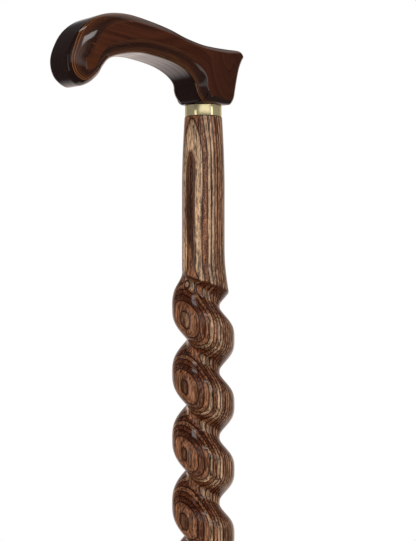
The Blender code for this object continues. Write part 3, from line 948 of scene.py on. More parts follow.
class Workpiece:
    """A mesh that is shaped with the tools of edit mode."""

    def __init__(self, item: bpy.types.Object) -> None:
        """Takes over an object, with its place in its mesh."""
        self.item = item

    @staticmethod
    def _clear_selection() -> None:
        """Nothing stays selected from before."""
        for other in bpy.context.scene.objects:
            other.select_set(False)

    @classmethod
    def cylinder(cls, name: str, radius: float, low: float, high: float,
                 sides: int) -> Workpiece:
        """Adds a cylinder on the shaft's axis.

        Args:
            name: The object's name.
            radius: Its radius.
            low: Height of its lower end.
            high: Height of its upper end.
            sides: Number of its sides.

        Returns:
            The cylinder.
        """
        cls._clear_selection()
        bpy.ops.mesh.primitive_cylinder_add(vertices=sides, radius=radius, depth=high - low,
                                            location=(0.0, 0.0, (low + high) / 2.0))
        return cls._named(name)

    @classmethod
    def lathe(cls, name: str, profile: Profile, sides: int) -> Workpiece:
        """Spins a profile of radius and height round the shaft's axis.

        Args:
            name: The object's name.
            profile: Points of the half section. A ring's profile comes back to its start.
            sides: Number of steps in the turn.

        Returns:
            The turned piece, closed, with its faces pointing out.
        """
        cls._clear_selection()
        bpy.ops.mesh.primitive_plane_add(size=START_SIZE)
        piece = cls._named(name)
        with piece.editing("VERT"):
            bpy.ops.mesh.select_all(action="SELECT")
            bpy.ops.mesh.merge(type="CENTER")
            bpy.ops.transform.translate(value=(profile[0][0], 0.0, profile[0][1]))
            for (radius, height), (before, lower) in zip(profile[1:], profile):
                bpy.ops.mesh.extrude_vertices_move(
                    TRANSFORM_OT_translate={"value": (radius - before, 0.0, height - lower)})
            bpy.ops.mesh.select_all(action="SELECT")
            bpy.ops.mesh.spin(steps=sides, angle=math.tau, center=(0.0, 0.0, 0.0),
                              axis=(0.0, 0.0, 1.0))
            bpy.ops.mesh.select_all(action="SELECT")
            bpy.ops.mesh.remove_doubles(threshold=TOUCHING)
            bpy.ops.mesh.normals_make_consistent(inside=False)
        return piece

    @classmethod
    def _named(cls, name: str) -> Workpiece:
        """Names the new primitive and writes its place into its mesh.

        Args:
            name: The name of the object and its mesh.

        Returns:
            The primitive as a workpiece.
        """
        item = bpy.context.object
        item.name = name
        item.data.name = name
        bpy.ops.object.transform_apply(location=True, rotation=True, scale=True)
        return cls(item)

    def _select_alone(self) -> None:
        """Selects this object and no other, and makes it the active one."""
        self._clear_selection()
        self.item.select_set(True)
        bpy.context.view_layer.objects.active = self.item

    @contextmanager
    def editing(self, mode: str = "FACE") -> Iterator[None]:
        """Edit mode on this piece alone, with nothing selected.

        Args:
            mode: What is picked: VERT, EDGE or FACE.

        Yields:
            Nothing; edit mode ends with the block.
        """
        self._select_alone()
        bpy.ops.object.mode_set(mode="EDIT")
        bpy.ops.mesh.select_mode(type=mode)
        bpy.ops.mesh.select_all(action="DESELECT")
        yield
        bpy.ops.object.mode_set(mode="OBJECT")

    def select_faces(self, wanted: Callable[[Vector, Vector], bool]) -> None:
        """Selects faces, and no others.

        Args:
            wanted: A test of a face's middle and normal.
        """
        bpy.ops.mesh.select_all(action="DESELECT")
        work = bmesh.from_edit_mesh(self.item.data)
        for face in work.faces:
            face.select_set(wanted(face.calc_center_median(), face.normal))
        bmesh.update_edit_mesh(self.item.data)

    def select_edges(self, wanted: Callable[[Vector, Vector], bool]) -> None:
        """Selects edges, and no others.

        Args:
            wanted: A test of an edge's two ends.
        """
        bpy.ops.mesh.select_all(action="DESELECT")
        work = bmesh.from_edit_mesh(self.item.data)
        for edge in work.edges:
            edge.select_set(wanted(edge.verts[0].co, edge.verts[1].co))
        bmesh.update_edit_mesh(self.item.data)

    def split_wall(self, radius: float, cuts: Sequence[int]) -> None:
        """Cuts an upright wall into rings, in as many rounds as there are numbers.

        Args:
            radius: The wall's radius.
            cuts: How many cuts each round makes between two rings.
        """
        with self.editing("EDGE"):
            for number in cuts:
                self.select_edges(lambda a, b: abs(a.z - b.z) > TOUCHING
                                  and min(a.xy.length, b.xy.length) > radius - TOUCHING)
                bpy.ops.mesh.subdivide(number_cuts=number)

    @staticmethod
    def extrude(rise: float) -> None:
        """Pulls the selected faces up, or down if the rise is negative."""
        bpy.ops.mesh.extrude_region_move(TRANSFORM_OT_translate={"value": (0.0, 0.0, rise)})

    @staticmethod
    def inset(thickness: float) -> None:
        """Insets the selected faces."""
        bpy.ops.mesh.inset(thickness=thickness, use_even_offset=True)

    @staticmethod
    def bevel(width: float) -> None:
        """Rounds the selected edges."""
        bpy.ops.mesh.bevel(offset=width, segments=BEVEL_SEGMENTS, profile=0.5,
                           clamp_overlap=True)

    def bevel_ridges(self, angle: float, width: float) -> None:
        """Rounds every edge sharper than an angle."""
        with self.editing("EDGE"):
            bpy.ops.mesh.edges_select_sharp(sharpness=angle)
            self.bevel(width)

    def read(self, name: str) -> np.ndarray:
        """Reads a property of the vertices.

        Args:
            name: The property: "co" for the place, "normal" for the normal.

        Returns:
            Its three numbers, one row for each vertex.
        """
        flat = np.empty(len(self.item.data.vertices) * 3, dtype=np.float64)
        self.item.data.vertices.foreach_get(name, flat)
        return flat.reshape(-1, 3)

    def move_points(self, points: np.ndarray) -> None:
        """Puts the vertices at new places."""
        self.item.data.vertices.foreach_set("co", points.astype(np.float32).ravel())
        self.item.data.update()

    def note(self, name: str, chosen: np.ndarray, values: np.ndarray) -> None:
        """Writes a number on some of the vertices and 0 on the rest.

        Args:
            name: The name under which a material reads it.
            chosen: Which vertices get a number.
            values: Their numbers.
        """
        whole = np.zeros(len(chosen), dtype=np.float32)
        whole[chosen] = values
        attribute = self.item.data.attributes.new(name, "FLOAT", "POINT")
        attribute.data.foreach_set("value", whole)

    def apply(self, modifier: bpy.types.Modifier) -> None:
        """Applies a modifier."""
        self._select_alone()
        bpy.ops.object.modifier_apply(modifier=modifier.name)

    def cut(self, cutter: Workpiece) -> None:
        """Takes another shape out of this one.

        Args:
            cutter: The other shape, which is thrown away.
        """
        modifier = self.item.modifiers.new("cut", "BOOLEAN")
        modifier.operation = "DIFFERENCE"
        modifier.solver = "EXACT"
        modifier.object = cutter.item
        self.apply(modifier)
        bpy.data.objects.remove(cutter.item)

    def finish(self, body: Body, slot: Slot, node: str, material: bpy.types.Material,
               smooth: float = math.radians(35.0)) -> None:
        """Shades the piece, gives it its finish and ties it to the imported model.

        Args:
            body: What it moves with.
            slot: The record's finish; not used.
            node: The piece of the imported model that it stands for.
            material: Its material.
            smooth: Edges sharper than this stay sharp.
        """
        self._select_alone()
        bpy.ops.object.shade_smooth_by_angle(angle=smooth)
        self.item.data.materials.clear()
        self.item.data.materials.append(material)
        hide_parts(node)
        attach(self.item, body.value)
        log.info("%s: %d faces, moves with %s", self.item.name, len(self.item.data.polygons),
                 body.value)


def smoothstep(low: float, high: float, value: np.ndarray) -> np.ndarray:
    """0 at low, 1 at high, with level ends."""
    share = np.clip((value - low) / (high - low), 0.0, 1.0)
    return share * share * (3.0 - 2.0 * share)


def soft_min(first: np.ndarray, second: np.ndarray, softness: float) -> np.ndarray:
    """The lesser of two radii, with the edge between them rounded."""
    near = np.maximum(softness - np.abs(first - second), 0.0) / softness
    return np.minimum(first, second) - near * near * softness / 4.0


def polar(points: np.ndarray) -> tuple[np.ndarray, np.ndarray]:
    """Distance from the shaft's axis, and angle round it, of each point."""
    return np.hypot(points[:, 0], points[:, 1]), np.arctan2(points[:, 1], points[:, 0])


# Pieces


@dataclass
class Shaft:
    """The shaft: a tenon, a swelling neck, one left-handed ridge and a plain lower end."""

    tenon_radius: float = 8.0 * MM
    tenon_bevel: float = 0.6 * MM
    bore_radius: float = 4.3 * MM
    bore_depth: float = 32.3 * MM
    shoulder_radius: float = 11.1 * MM
    neck_top_radius: float = 11.45 * MM
    neck_belly_radius: float = 13.0 * MM
    neck_swell_length: float = 42.0 * MM
    neck_swell_power: float = 1.7
    neck_to_twist: float = 87.0 * MM
    bevel: float = 1.0 * MM
    twist_radius: float = 19.05 * MM
    groove_radius: float = 10.0 * MM
    pitch: float = 39.8 * MM
    ridge_breadth: float = 1.6
    groove_flat: float = 0.04
    flare_length: float = 42.6 * MM
    flare_skew: float = 0.573
    flare_lead: float = 6.4 * MM
    run_in: float = 42.0 * MM
    full_below: float = 25.0 * MM
    ridge_below_seat: float = 132.5 * MM
    ridge_angle: float = math.radians(-133.0)
    softness: float = 0.8 * MM
    taper_start: float = 560.0 * MM
    low_radius: float = 16.0 * MM
    twist_bottom: float = 168.0 * MM
    low_flare_length: float = 34.0 * MM
    plain_radius: float = 10.8 * MM
    end_radius: float = 9.5 * MM
    # How the groove's darkening, partly stain and partly painted shade, grows with depth on each
    # flank.
    stain_and_shade_upper: tuple[float, float] = (0.32, 0.34)
    stain_and_shade_lower: tuple[float, float] = (0.0, 0.30)
    bare_turns: tuple[float, float, float, float] = (-0.065, -0.035, 0.055, 0.090)
    bare_share: float = 0.9
    stain_and_shade_edge: float = 0.5 * MM
    # Painted shade under the neck's edge: the band where the wall lies 0.25 to 2.6 mm inside the
    # turned shape.
    cut_edge: tuple[float, float, float] = (0.25 * MM, 1.0 * MM, 2.6 * MM)
    painted_shade_under_edge_below_twist: tuple[float, float] = (30.0 * MM, 18.0 * MM)
    sides: int = 108
    cuts: tuple[int, int] = (10, 80)
    ring_shares: tuple[float, ...] = (0.0, 0.005, 0.05, 0.94, 0.995, 1.0)
    rings_below_twist: float = 8.0 * MM
    rings_above_twist: float = 10.0 * MM
    sharp_angle: float = math.radians(60.0)
    finish: LaminatedWood = field(default_factory=LaminatedWood)

    def __post_init__(self) -> None:
        """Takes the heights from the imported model."""
        low, high = node_box("shaft")
        collar_low, collar_high = node_box("collar")
        self.bottom = low.z
        self.tenon_top = high.z
        self.shoulder = collar_low.z - CLEARANCE
        self.twist_top = self.shoulder - self.neck_to_twist
        self.first_ridge = collar_high.z + CLEARANCE - self.ridge_below_seat

    def _envelope(self, z: np.ndarray) -> np.ndarray:
        """Radius that the ridge reaches."""
        share = np.clip((self.taper_start - z) / (self.taper_start - self.twist_bottom), 0.0, 1.0)
        return self.twist_radius + (self.low_radius - self.twist_radius) * share

    def _flare(self, z: np.ndarray, angle: np.ndarray, start: float, length: float,
               towards: float) -> np.ndarray:
        """Works out how far a thin end has swollen into the twist.

        Args:
            z: Heights.
            angle: Angles round the shaft.
            start: Height where the flare starts.
            length: Its length, negative downwards.
            towards: The side on which it starts first.

        Returns:
            Share of the full thickness.
        """
        lean = np.cos(angle - towards)
        begin = start + math.copysign(self.flare_lead, length) * lean
        reach = length * (1.0 - self.flare_skew * lean)
        return smoothstep(0.0, 1.0, (z - begin) / reach)

    def _turned(self, z: np.ndarray, angle: np.ndarray) -> np.ndarray:
        """Gives the shape as turned and rasped, before the groove is cut.

        Args:
            z: Heights.
            angle: Angles round the shaft.

        Returns:
            The radii.
        """
        thick = self._envelope(z) + 2.0 * self.softness
        slim = np.maximum(0.0, 1.0 - (self.shoulder - z) / self.neck_swell_length)
        swell = self.neck_belly_radius - self.neck_top_radius
        neck = self.neck_belly_radius - swell * slim ** self.neck_swell_power
        plain = self.end_radius + (self.plain_radius - self.end_radius) * smoothstep(
            self.bottom, self.twist_bottom, z)
        upper = self._flare(z, angle, self.twist_top, -self.flare_length,
                            self.ridge_angle - math.pi / 2.0)
        lower = self._flare(z, angle, self.twist_bottom, self.low_flare_length,
                            self.ridge_angle + math.pi / 2.0)
        above = z > (self.twist_top + self.twist_bottom) / 2.0
        return np.where(above, neck + (thick - neck) * upper, plain + (thick - plain) * lower)

    def _from_groove(self, z: np.ndarray, angle: np.ndarray) -> np.ndarray:
        """Turns of the screw from the groove's middle, positive below it."""
        phase = (self.first_ridge - z) / self.pitch - (angle - self.ridge_angle) / math.tau
        return phase - np.floor(phase) - 0.5

    def _groove(self, z: np.ndarray, angle: np.ndarray) -> np.ndarray:
        """Works out how deep the groove is, which runs in below the neck and out above the end.

        Args:
            z: Heights.
            angle: Angles round the shaft.

        Returns:
            Share of its full depth.
        """
        from_groove = self._from_groove(z, angle)
        groove_z = z + from_groove * self.pitch
        outside = np.minimum(1.0, (1.0 - 2.0 * np.abs(from_groove)) / (1.0 - self.groove_flat))
        cut = np.sin(math.pi / 2.0 * outside ** self.ridge_breadth) ** 2
        full_top = self.twist_top - self.full_below
        full_bottom = self.twist_bottom + self.full_below
        run_in = 1.0 - smoothstep(full_top, full_top + self.run_in, groove_z)
        run_out = smoothstep(full_bottom - self.run_in, full_bottom, groove_z)
        return cut * run_in * run_out

    def _twisted(self, z: np.ndarray, angle: np.ndarray) -> np.ndarray:
        """Radius of the ridge and its groove."""
        depth = 1.0 - self.groove_radius / self.twist_radius
        return self._envelope(z) * (1.0 - depth * self._groove(z, angle))

    def radius(self, z: np.ndarray, angle: np.ndarray) -> np.ndarray:
        """Radius of the finished shaft, from its lower end to its shoulder."""
        return soft_min(self._turned(z, angle), self._twisted(z, angle), self.softness)

    def _groove_stain_and_shade(self, z: np.ndarray, angle: np.ndarray) -> np.ndarray:
        """Finds the darkening in the groove, partly stain and partly painted shade, which leaves
        the middle of its floor bare.

        Args:
            z: Heights.
            angle: Angles round the shaft.

        Returns:
            1 where it is darkest.
        """
        turns = self._from_groove(z, angle)
        deep = self._groove(z, angle)
        upper, lower = (np.clip((deep - start) / length, 0.0, 1.0)
                        for start, length in (self.stain_and_shade_upper, self.stain_and_shade_lower))
        top, full_top, full_bottom, bottom = self.bare_turns
        bare = smoothstep(top, full_top, turns) * smoothstep(bottom, full_bottom, turns)
        return np.where(turns < 0.0, upper, lower) * (1.0 - self.bare_share * bare)

    def _note_marks(self, piece: Workpiece, wall: np.ndarray, z: np.ndarray,
                    angle: np.ndarray) -> None:
        """Writes on the mesh where the groove is darkened, where shade is painted under the neck's
        edge, and how steeply the wall cuts the sheets.

        The groove's darkening is partly stain and partly painted shade; the band under the neck's
        edge is painted shade.

        Args:
            piece: The shaft.
            wall: Which vertices are on the carved wall.
            z: Their heights.
            angle: Their angles round the shaft.
        """
        over = self._turned(z, angle) - self._twisted(z, angle)
        straight = piece.read("normal")[wall] @ np.array(self.finish.facing())
        piece.note("slope", wall, np.sqrt(np.clip(1.0 - straight ** 2, 0.0, 1.0)))
        # Groove mark: partly stain, partly painted shade.
        in_groove = smoothstep(-self.stain_and_shade_edge, self.stain_and_shade_edge, over)
        piece.note("groove", wall, self._groove_stain_and_shade(z, angle) * in_groove)
        # Painted shade under the neck's edge.
        start, full, end = self.cut_edge
        low, high = (self.twist_top - below for below in self.painted_shade_under_edge_below_twist)
        piece.note("cut_edge", wall, smoothstep(0.0, start, over) * smoothstep(end, full, over)
                   * smoothstep(low, high, z))

    def build(self) -> Workpiece:
        """Turns a cylinder with a bored tenon into the carved shaft.

        Returns:
            The shaft.
        """
        blank = self.twist_radius
        piece = Workpiece.cylinder("shaft_carved", blank, self.bottom, self.shoulder, self.sides)
        with piece.editing("FACE"):
            piece.select_faces(lambda middle, normal: normal.z > UPWARDS)
            piece.inset(blank - self.tenon_radius)
            piece.extrude(self.tenon_top - self.shoulder)
            piece.inset(self.tenon_radius - self.bore_radius)
            piece.extrude(-self.bore_depth)
        with piece.editing("EDGE"):
            piece.select_edges(lambda a, b: min(a.z, b.z) > self.tenon_top - NEARBY
                               and min(a.xy.length, b.xy.length) > self.tenon_radius - NEARBY)
            piece.bevel(self.tenon_bevel)
        piece.split_wall(blank, self.cuts)
        self._carve(piece)
        return piece

    def _carve(self, piece: Workpiece) -> None:
        """Brings the blank's wall to the carved surface, with close rings where it twists.

        Args:
            piece: The blank, whose wall is cut into rings.
        """
        points = piece.read("co")
        out, angle = polar(points)
        wall = out > self.twist_radius - NEARBY
        angle = angle[wall]
        share = (points[wall, 2] - self.bottom) / (self.shoulder - self.bottom)
        bottom_end = self.bottom + self.bevel
        top_end = self.shoulder - self.bevel
        z = np.interp(share, self.ring_shares,
                      [self.bottom, bottom_end, self.twist_bottom - self.rings_below_twist,
                       self.twist_top + self.rings_above_twist, top_end, self.shoulder])
        radius = self.radius(np.clip(z, bottom_end, top_end), angle)
        low_turn = np.clip((bottom_end - z) / self.bevel, 0.0, 1.0)
        top_turn = np.clip((z - top_end) / self.bevel, 0.0, 1.0)
        radius -= self.bevel * (1.0 - np.sqrt(1.0 - low_turn ** 2))
        shoulder_drop = self.neck_top_radius - self.shoulder_radius
        radius -= shoulder_drop * (1.0 - np.sqrt(1.0 - top_turn ** 2))
        points[wall] = np.column_stack((radius * np.cos(angle), radius * np.sin(angle), z))
        piece.move_points(points)
        self._note_marks(piece, wall, z, angle)

    def dress(self, piece: Workpiece) -> None:
        """Gives the shaft its veneers."""
        piece.finish(Body.CANE, Slot.LAMINATED_WOOD, "shaft", self.finish.material(),
                     self.sharp_angle)


@dataclass
class Handle:
    """The derby handle: a slab sawn to its outline, its long edges rounded over."""

    neck_length: float = 30.2 * MM
    tail_height: float = 33.8 * MM
    arch_height: float = 24.0 * MM
    hook_height: float = 3.0 * MM
    hook_length: float = 22.5 * MM
    width_at_nose: float = 27.6 * MM
    width_at_tail: float = 30.0 * MM
    grip_rounding: float = 8.0 * MM
    tail_rounding: float = 3.4 * MM
    corner_rounding: float = 2.3 * MM
    tenon_hole: float = 8.3 * MM
    tenon_depth: float = 8.3 * MM
    insert_hole: float = 6.9 * MM
    insert_depth: float = 25.6 * MM
    drill_start: float = 1.0 * MM
    hole_sides: int = 64
    rounding_flatness: float = 1.30
    rounding_depth: tuple[float, float] = (4.3 * MM, 0.13)
    low_rounding: float = 0.42
    low_edge: tuple[float, float] = (22.0 * MM, -3.0 * MM)
    curve_steps: int = 8
    rounding_steps: int = 12
    sharp_angle: float = math.radians(32.0)
    finish: DarkWood = field(default_factory=DarkWood)

    def __post_init__(self) -> None:
        """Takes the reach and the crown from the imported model."""
        low, high = node_box("handle")
        self.seat = low.z
        self.crown = high.z - low.z
        self.nose = low.x
        self.tail = high.x

    def _outline(self) -> list[tuple[float, float, float]]:
        """Lays out the side view.

        Returns:
            Points of x, height over the seat and rounding of the edge. They start at the seat's
            rear corner and go up the back, over the crown to the nose, round the hook and along
            the arch to the neck's front.
        """
        neck = self.neck_length / 2.0
        nose = self.nose
        hook = nose + self.hook_length
        span = -neck - hook
        back = self.tail - neck
        rise = self.tail_height
        drop = self.crown - rise
        hollow = self.arch_height - self.hook_height
        fall = self.crown - self.hook_height
        grip = self.grip_rounding
        tail = self.tail_rounding
        corner = self.corner_rounding
        return [
            (neck - 7.2 * MM, 0.0, tail),
            (neck - 3.7 * MM, 0.8 * MM, tail),
            (neck - 1.4 * MM, 0.118 * rise, tail),
            (neck - 0.2 * MM, 0.265 * rise, tail),
            (neck + 0.18 * back, 0.445 * rise, tail),
            (neck + 0.52 * back, 0.67 * rise, tail),
            (self.tail - 0.7 * MM, rise - 6.4 * MM, tail),
            (self.tail, rise - 3.6 * MM, corner),
            (self.tail - 1.4 * MM, rise - 1.2 * MM, corner),
            (self.tail - 4.6 * MM, rise - 0.15 * MM, corner),
            (0.4 * self.tail, rise - 0.01 * drop, tail),
            (0.02 * nose, rise - 0.015 * drop, tail),
            (0.12 * nose, rise + 0.04 * drop, tail),
            (0.235 * nose, rise + 0.27 * drop, 0.5 * grip),
            (0.35 * nose, rise + 0.605 * drop, 0.58 * grip),
            (0.485 * nose, rise + 0.855 * drop, 0.66 * grip),
            (0.63 * nose, self.crown, 0.75 * grip),
            (0.755 * nose, self.crown - 0.035 * fall, 0.95 * grip),
            (0.86 * nose, self.crown - 0.144 * fall, 1.2 * grip),
            (0.94 * nose, self.crown - 0.32 * fall, 1.4 * grip),
            (0.989 * nose, self.crown - 0.556 * fall, 1.4 * grip),
            (nose, self.crown - 0.74 * fall, 1.1 * grip),
            (nose + 0.10 * self.hook_length, self.hook_height + 0.090 * fall, 1.05 * grip),
            (nose + 0.37 * self.hook_length, self.hook_height - 0.4 * MM, 1.1 * grip),
            (nose + 0.64 * self.hook_length, self.hook_height + 0.065 * hollow, 1.0 * grip),
            (nose + 0.87 * self.hook_length, self.hook_height + 0.29 * hollow, 0.9 * grip),
            (hook, self.hook_height + 0.53 * hollow, 0.93 * grip),
            (hook + 0.06 * span, self.hook_height + 0.735 * hollow, grip),
            (hook + 0.18 * span, self.hook_height + 0.89 * hollow, grip),
            (hook + 0.37 * span, self.arch_height, grip),
            (hook + 0.565 * span, self.arch_height - 0.035 * hollow, grip),
            (hook + 0.75 * span, self.arch_height - 0.135 * hollow, grip),
            (hook + 0.887 * span, 0.735 * self.arch_height, grip),
            (hook + 0.975 * span, 0.54 * self.arch_height, 0.92 * grip),
            (0.4 * MM - neck, 0.335 * self.arch_height, 0.7 * grip),
            (1.6 * MM - neck, 0.175 * self.arch_height, 0.8 * grip),
            (3.9 * MM - neck, 1.2 * MM, 0.9 * grip),
            (6.8 * MM - neck, 0.0, 0.75 * grip),
        ]

    def _smooth_outline(self) -> np.ndarray:
        """Runs a closed Catmull-Rom curve through the outline.

        Returns:
            The curve's points, one row each, as in the outline.
        """
        knots = np.array(self._outline())
        t = (np.arange(self.curve_steps) / self.curve_steps)[None, :, None]
        before, start, end, after = (np.roll(knots, shift, axis=0)[:, None, :]
                                     for shift in (1, 0, -1, -2))
        curve = 0.5 * (2.0 * start + (end - before) * t
                       + (2.0 * before - 5.0 * start + 4.0 * end - after) * t ** 2
                       + (3.0 * start - before - 3.0 * end + after) * t ** 3)
        return curve.reshape(-1, 3)

    def _half_width(self, x: np.ndarray) -> np.ndarray:
        """Half of the width, which grows evenly from the nose to the tail."""
        share = (x - self.nose) / (self.tail - self.nose)
        return (self.width_at_nose + (self.width_at_tail - self.width_at_nose) * share) / 2.0

    def build(self) -> Workpiece:
        """Shapes a drum of rings to the outline, with rounded rims, and drills it.

        Returns:
            The handle.
        """
        outline = self._smooth_outline()
        piece = Workpiece.cylinder("handle_carved", 1.0, 0.0, 1.0, len(outline))
        piece.split_wall(1.0, [2 * self.rounding_steps])
        piece.move_points(self._wrapped(piece.read("co"), outline))
        with piece.editing("FACE"):
            bpy.ops.mesh.select_all(action="SELECT")
            bpy.ops.mesh.normals_make_consistent(inside=False)
        piece.cut(self._drill())
        return piece

    def _wrapped(self, drum: np.ndarray, outline: np.ndarray) -> np.ndarray:
        """Wraps a drum of unit size round the outline, with both rims rounded over.

        Args:
            drum: Its points, as many round it as the outline has.
            outline: The smooth side view.

        Returns:
            The points of the handle.
        """
        count = len(outline)
        rings = 2 * self.rounding_steps + 1
        _, turn = polar(drum)
        place = np.rint((turn - turn[0]) * count / math.tau).astype(int) % count
        ring = np.rint(drum[:, 2] * rings).astype(int)
        far = ring > self.rounding_steps
        steps = np.where(far, rings - ring, ring)
        quarter = math.pi / 2.0 * steps / self.rounding_steps
        x, height, rounding = outline[place].T
        inwards = self._inwards(outline)[place]
        inset = rounding * (1.0 - np.sin(quarter) ** self.rounding_flatness)
        least, growth = self.rounding_depth
        low = smoothstep(*self.low_edge, height) * self.low_rounding
        sideways = np.minimum(rounding, least + (growth + low) * rounding)
        cut_back = sideways * (1.0 - np.cos(quarter) ** self.rounding_flatness)
        depth = self._half_width(x) - cut_back
        return np.column_stack((x + inwards[:, 0] * inset, np.where(far, depth, -depth),
                                self.seat + height + inwards[:, 1] * inset))

    @staticmethod
    def _inwards(outline: np.ndarray) -> np.ndarray:
        """Finds the ways into the side view from its edge.

        Args:
            outline: The smooth side view.

        Returns:
            Unit vectors of x and height, one for each point.
        """
        along = np.roll(outline, -1, axis=0) - np.roll(outline, 1, axis=0)
        inwards = np.column_stack((-along[:, 1], along[:, 0]))
        return inwards / np.linalg.norm(inwards, axis=1, keepdims=True)

    def _drill(self) -> Workpiece:
        """Makes the stepped hole for the tenon and the insert.

        Returns:
            The hole as a solid, to be cut out.
        """
        hole = Workpiece.cylinder("hole", self.tenon_hole, self.seat - self.drill_start,
                                  self.seat + self.tenon_depth, self.hole_sides)
        with hole.editing("FACE"):
            hole.select_faces(lambda middle, normal: normal.z > UPWARDS)
            hole.inset(self.tenon_hole - self.insert_hole)
            hole.extrude(self.insert_depth - self.tenon_depth)
        return hole

    def dress(self, piece: Workpiece) -> None:
        """Gives the handle its varnished wood, and shades its flat sides flat.

        Args:
            piece: The handle.
        """
        piece.finish(Body.CANE, Slot.DARK_WOOD, "handle", self.finish.material(),
                     self.sharp_angle)
        modifier = piece.item.modifiers.new("flat_sides", "WEIGHTED_NORMAL")
        modifier.keep_sharp = True
        piece.apply(modifier)


def ring_profile(bore: float, radius: float, low: float, high: float) -> Profile:
    """The half section of a plain ring or sleeve, closed."""
    return [(bore, high), (radius, high), (radius, low), (bore, low), (bore, high)]


@dataclass
class Collar:
    """The brass collar, a short tube with broken edges."""

    bore: float = 8.3 * MM
    edge: float = 0.3 * MM
    sharp_angle: float = math.radians(60.0)
    sides: int = 128
    finish: Brass = field(default_factory=Brass)

    def build(self) -> Workpiece:
        """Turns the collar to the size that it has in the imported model.

        Returns:
            The collar.
        """
        low, high = node_box("collar")
        profile = ring_profile(self.bore, high.x, low.z, high.z)
        piece = Workpiece.lathe("collar_turned", profile, self.sides)
        piece.bevel_ridges(self.sharp_angle, self.edge)
        return piece

    def dress(self, piece: Workpiece) -> None:
        """Gives the collar its brass."""
        piece.finish(Body.CANE, Slot.BRASS, "collar", self.finish.material())


@dataclass
class Thread:
    """A screw thread on the shaft's axis: its ridge runs out at both ends."""

    radius: float
    depth: float
    pitch: float
    low: float
    high: float
    run_out: float
    flank_steepness: float = 1.4
    root_width: float = 0.2

    def wall(self, z: np.ndarray, angle: np.ndarray) -> np.ndarray:
        """Gives the threaded wall.

        Args:
            z: Heights.
            angle: Angles round the axis.

        Returns:
            The radii.
        """
        phase = z / self.pitch - angle / math.tau
        ridge = 1.0 - np.abs(2.0 * (phase - np.floor(phase)) - 1.0)
        fade = smoothstep(self.low, self.low + self.run_out, z)
        fade = fade * (1.0 - smoothstep(self.high - self.run_out, self.high, z))
        crest = np.clip(self.flank_steepness * ridge - self.root_width, 0.0, 1.0)
        return self.radius - self.depth * (1.0 - crest * fade)

    def cut_on(self, piece: Workpiece) -> None:
        """Moves the wall of a blank on to the thread.

        Args:
            piece: The blank, which has the thread's radius.
        """
        points = piece.read("co")
        out, angle = polar(points)
        wall = out > self.radius - TOUCHING
        radius = self.wall(points[wall, 2], angle[wall])
        points[wall, 0] = radius * np.cos(angle[wall])
        points[wall, 1] = radius * np.sin(angle[wall])
        piece.move_points(points)


@dataclass
class Fasteners:
    """The steel stud between shaft and handle, and the brass insert that takes it."""

    stud_pitch: float = 1.25 * MM
    stud_depth: float = 0.65 * MM
    stud_point: float = 1.5 * MM
    stud_point_taper: float = 0.72
    stud_sides: int = 32
    stud_cuts: tuple[int, int] = (9, 28)
    insert_bore: float = 4.3 * MM
    insert_pitch: float = 3.5 * MM
    insert_depth: float = 0.9 * MM
    insert_sides: int = 64
    insert_cuts: tuple[int, int] = (9, 8)
    steel: ZincSteel = field(default_factory=ZincSteel)
    brass: Brass = field(default_factory=lambda: Brass(name="insert_brass", roughness=0.3))

    def build_stud(self) -> Workpiece:
        """Threads a rod with pointed ends.

        Returns:
            The stud.
        """
        low, high = node_box("connecting_stud")
        bottom = low.z + self.stud_point
        top = high.z - self.stud_point
        piece = Workpiece.cylinder("stud_threaded", high.x, bottom, top, self.stud_sides)
        piece.split_wall(high.x, self.stud_cuts)
        Thread(high.x, self.stud_depth, self.stud_pitch, bottom, top,
               self.stud_pitch).cut_on(piece)
        with piece.editing("FACE"):
            for side in (-1.0, 1.0):
                piece.select_faces(lambda middle, normal: normal.z * side > UPWARDS
                                   and middle.xy.length < NEARBY)
                piece.extrude(side * self.stud_point)
                bpy.ops.transform.resize(value=(self.stud_point_taper, self.stud_point_taper, 1.0))
        return piece

    def build_insert(self) -> Workpiece:
        """Threads a sleeve outside and bores it.

        Returns:
            The insert.
        """
        low, high = node_box("handle_insert")
        profile = ring_profile(self.insert_bore, high.x, low.z, high.z)
        piece = Workpiece.lathe("insert_threaded", profile, self.insert_sides)
        piece.split_wall(high.x, self.insert_cuts)
        Thread(high.x, self.insert_depth, self.insert_pitch, low.z, high.z,
               0.5 * self.insert_pitch).cut_on(piece)
        return piece

    def dress(self, stud: Workpiece, insert: Workpiece) -> None:
        """Gives both their metal."""
        stud.finish(Body.CANE, Slot.STEEL, "connecting_stud", self.steel.material())
        insert.finish(Body.CANE, Slot.BRASS, "handle_insert", self.brass.material())


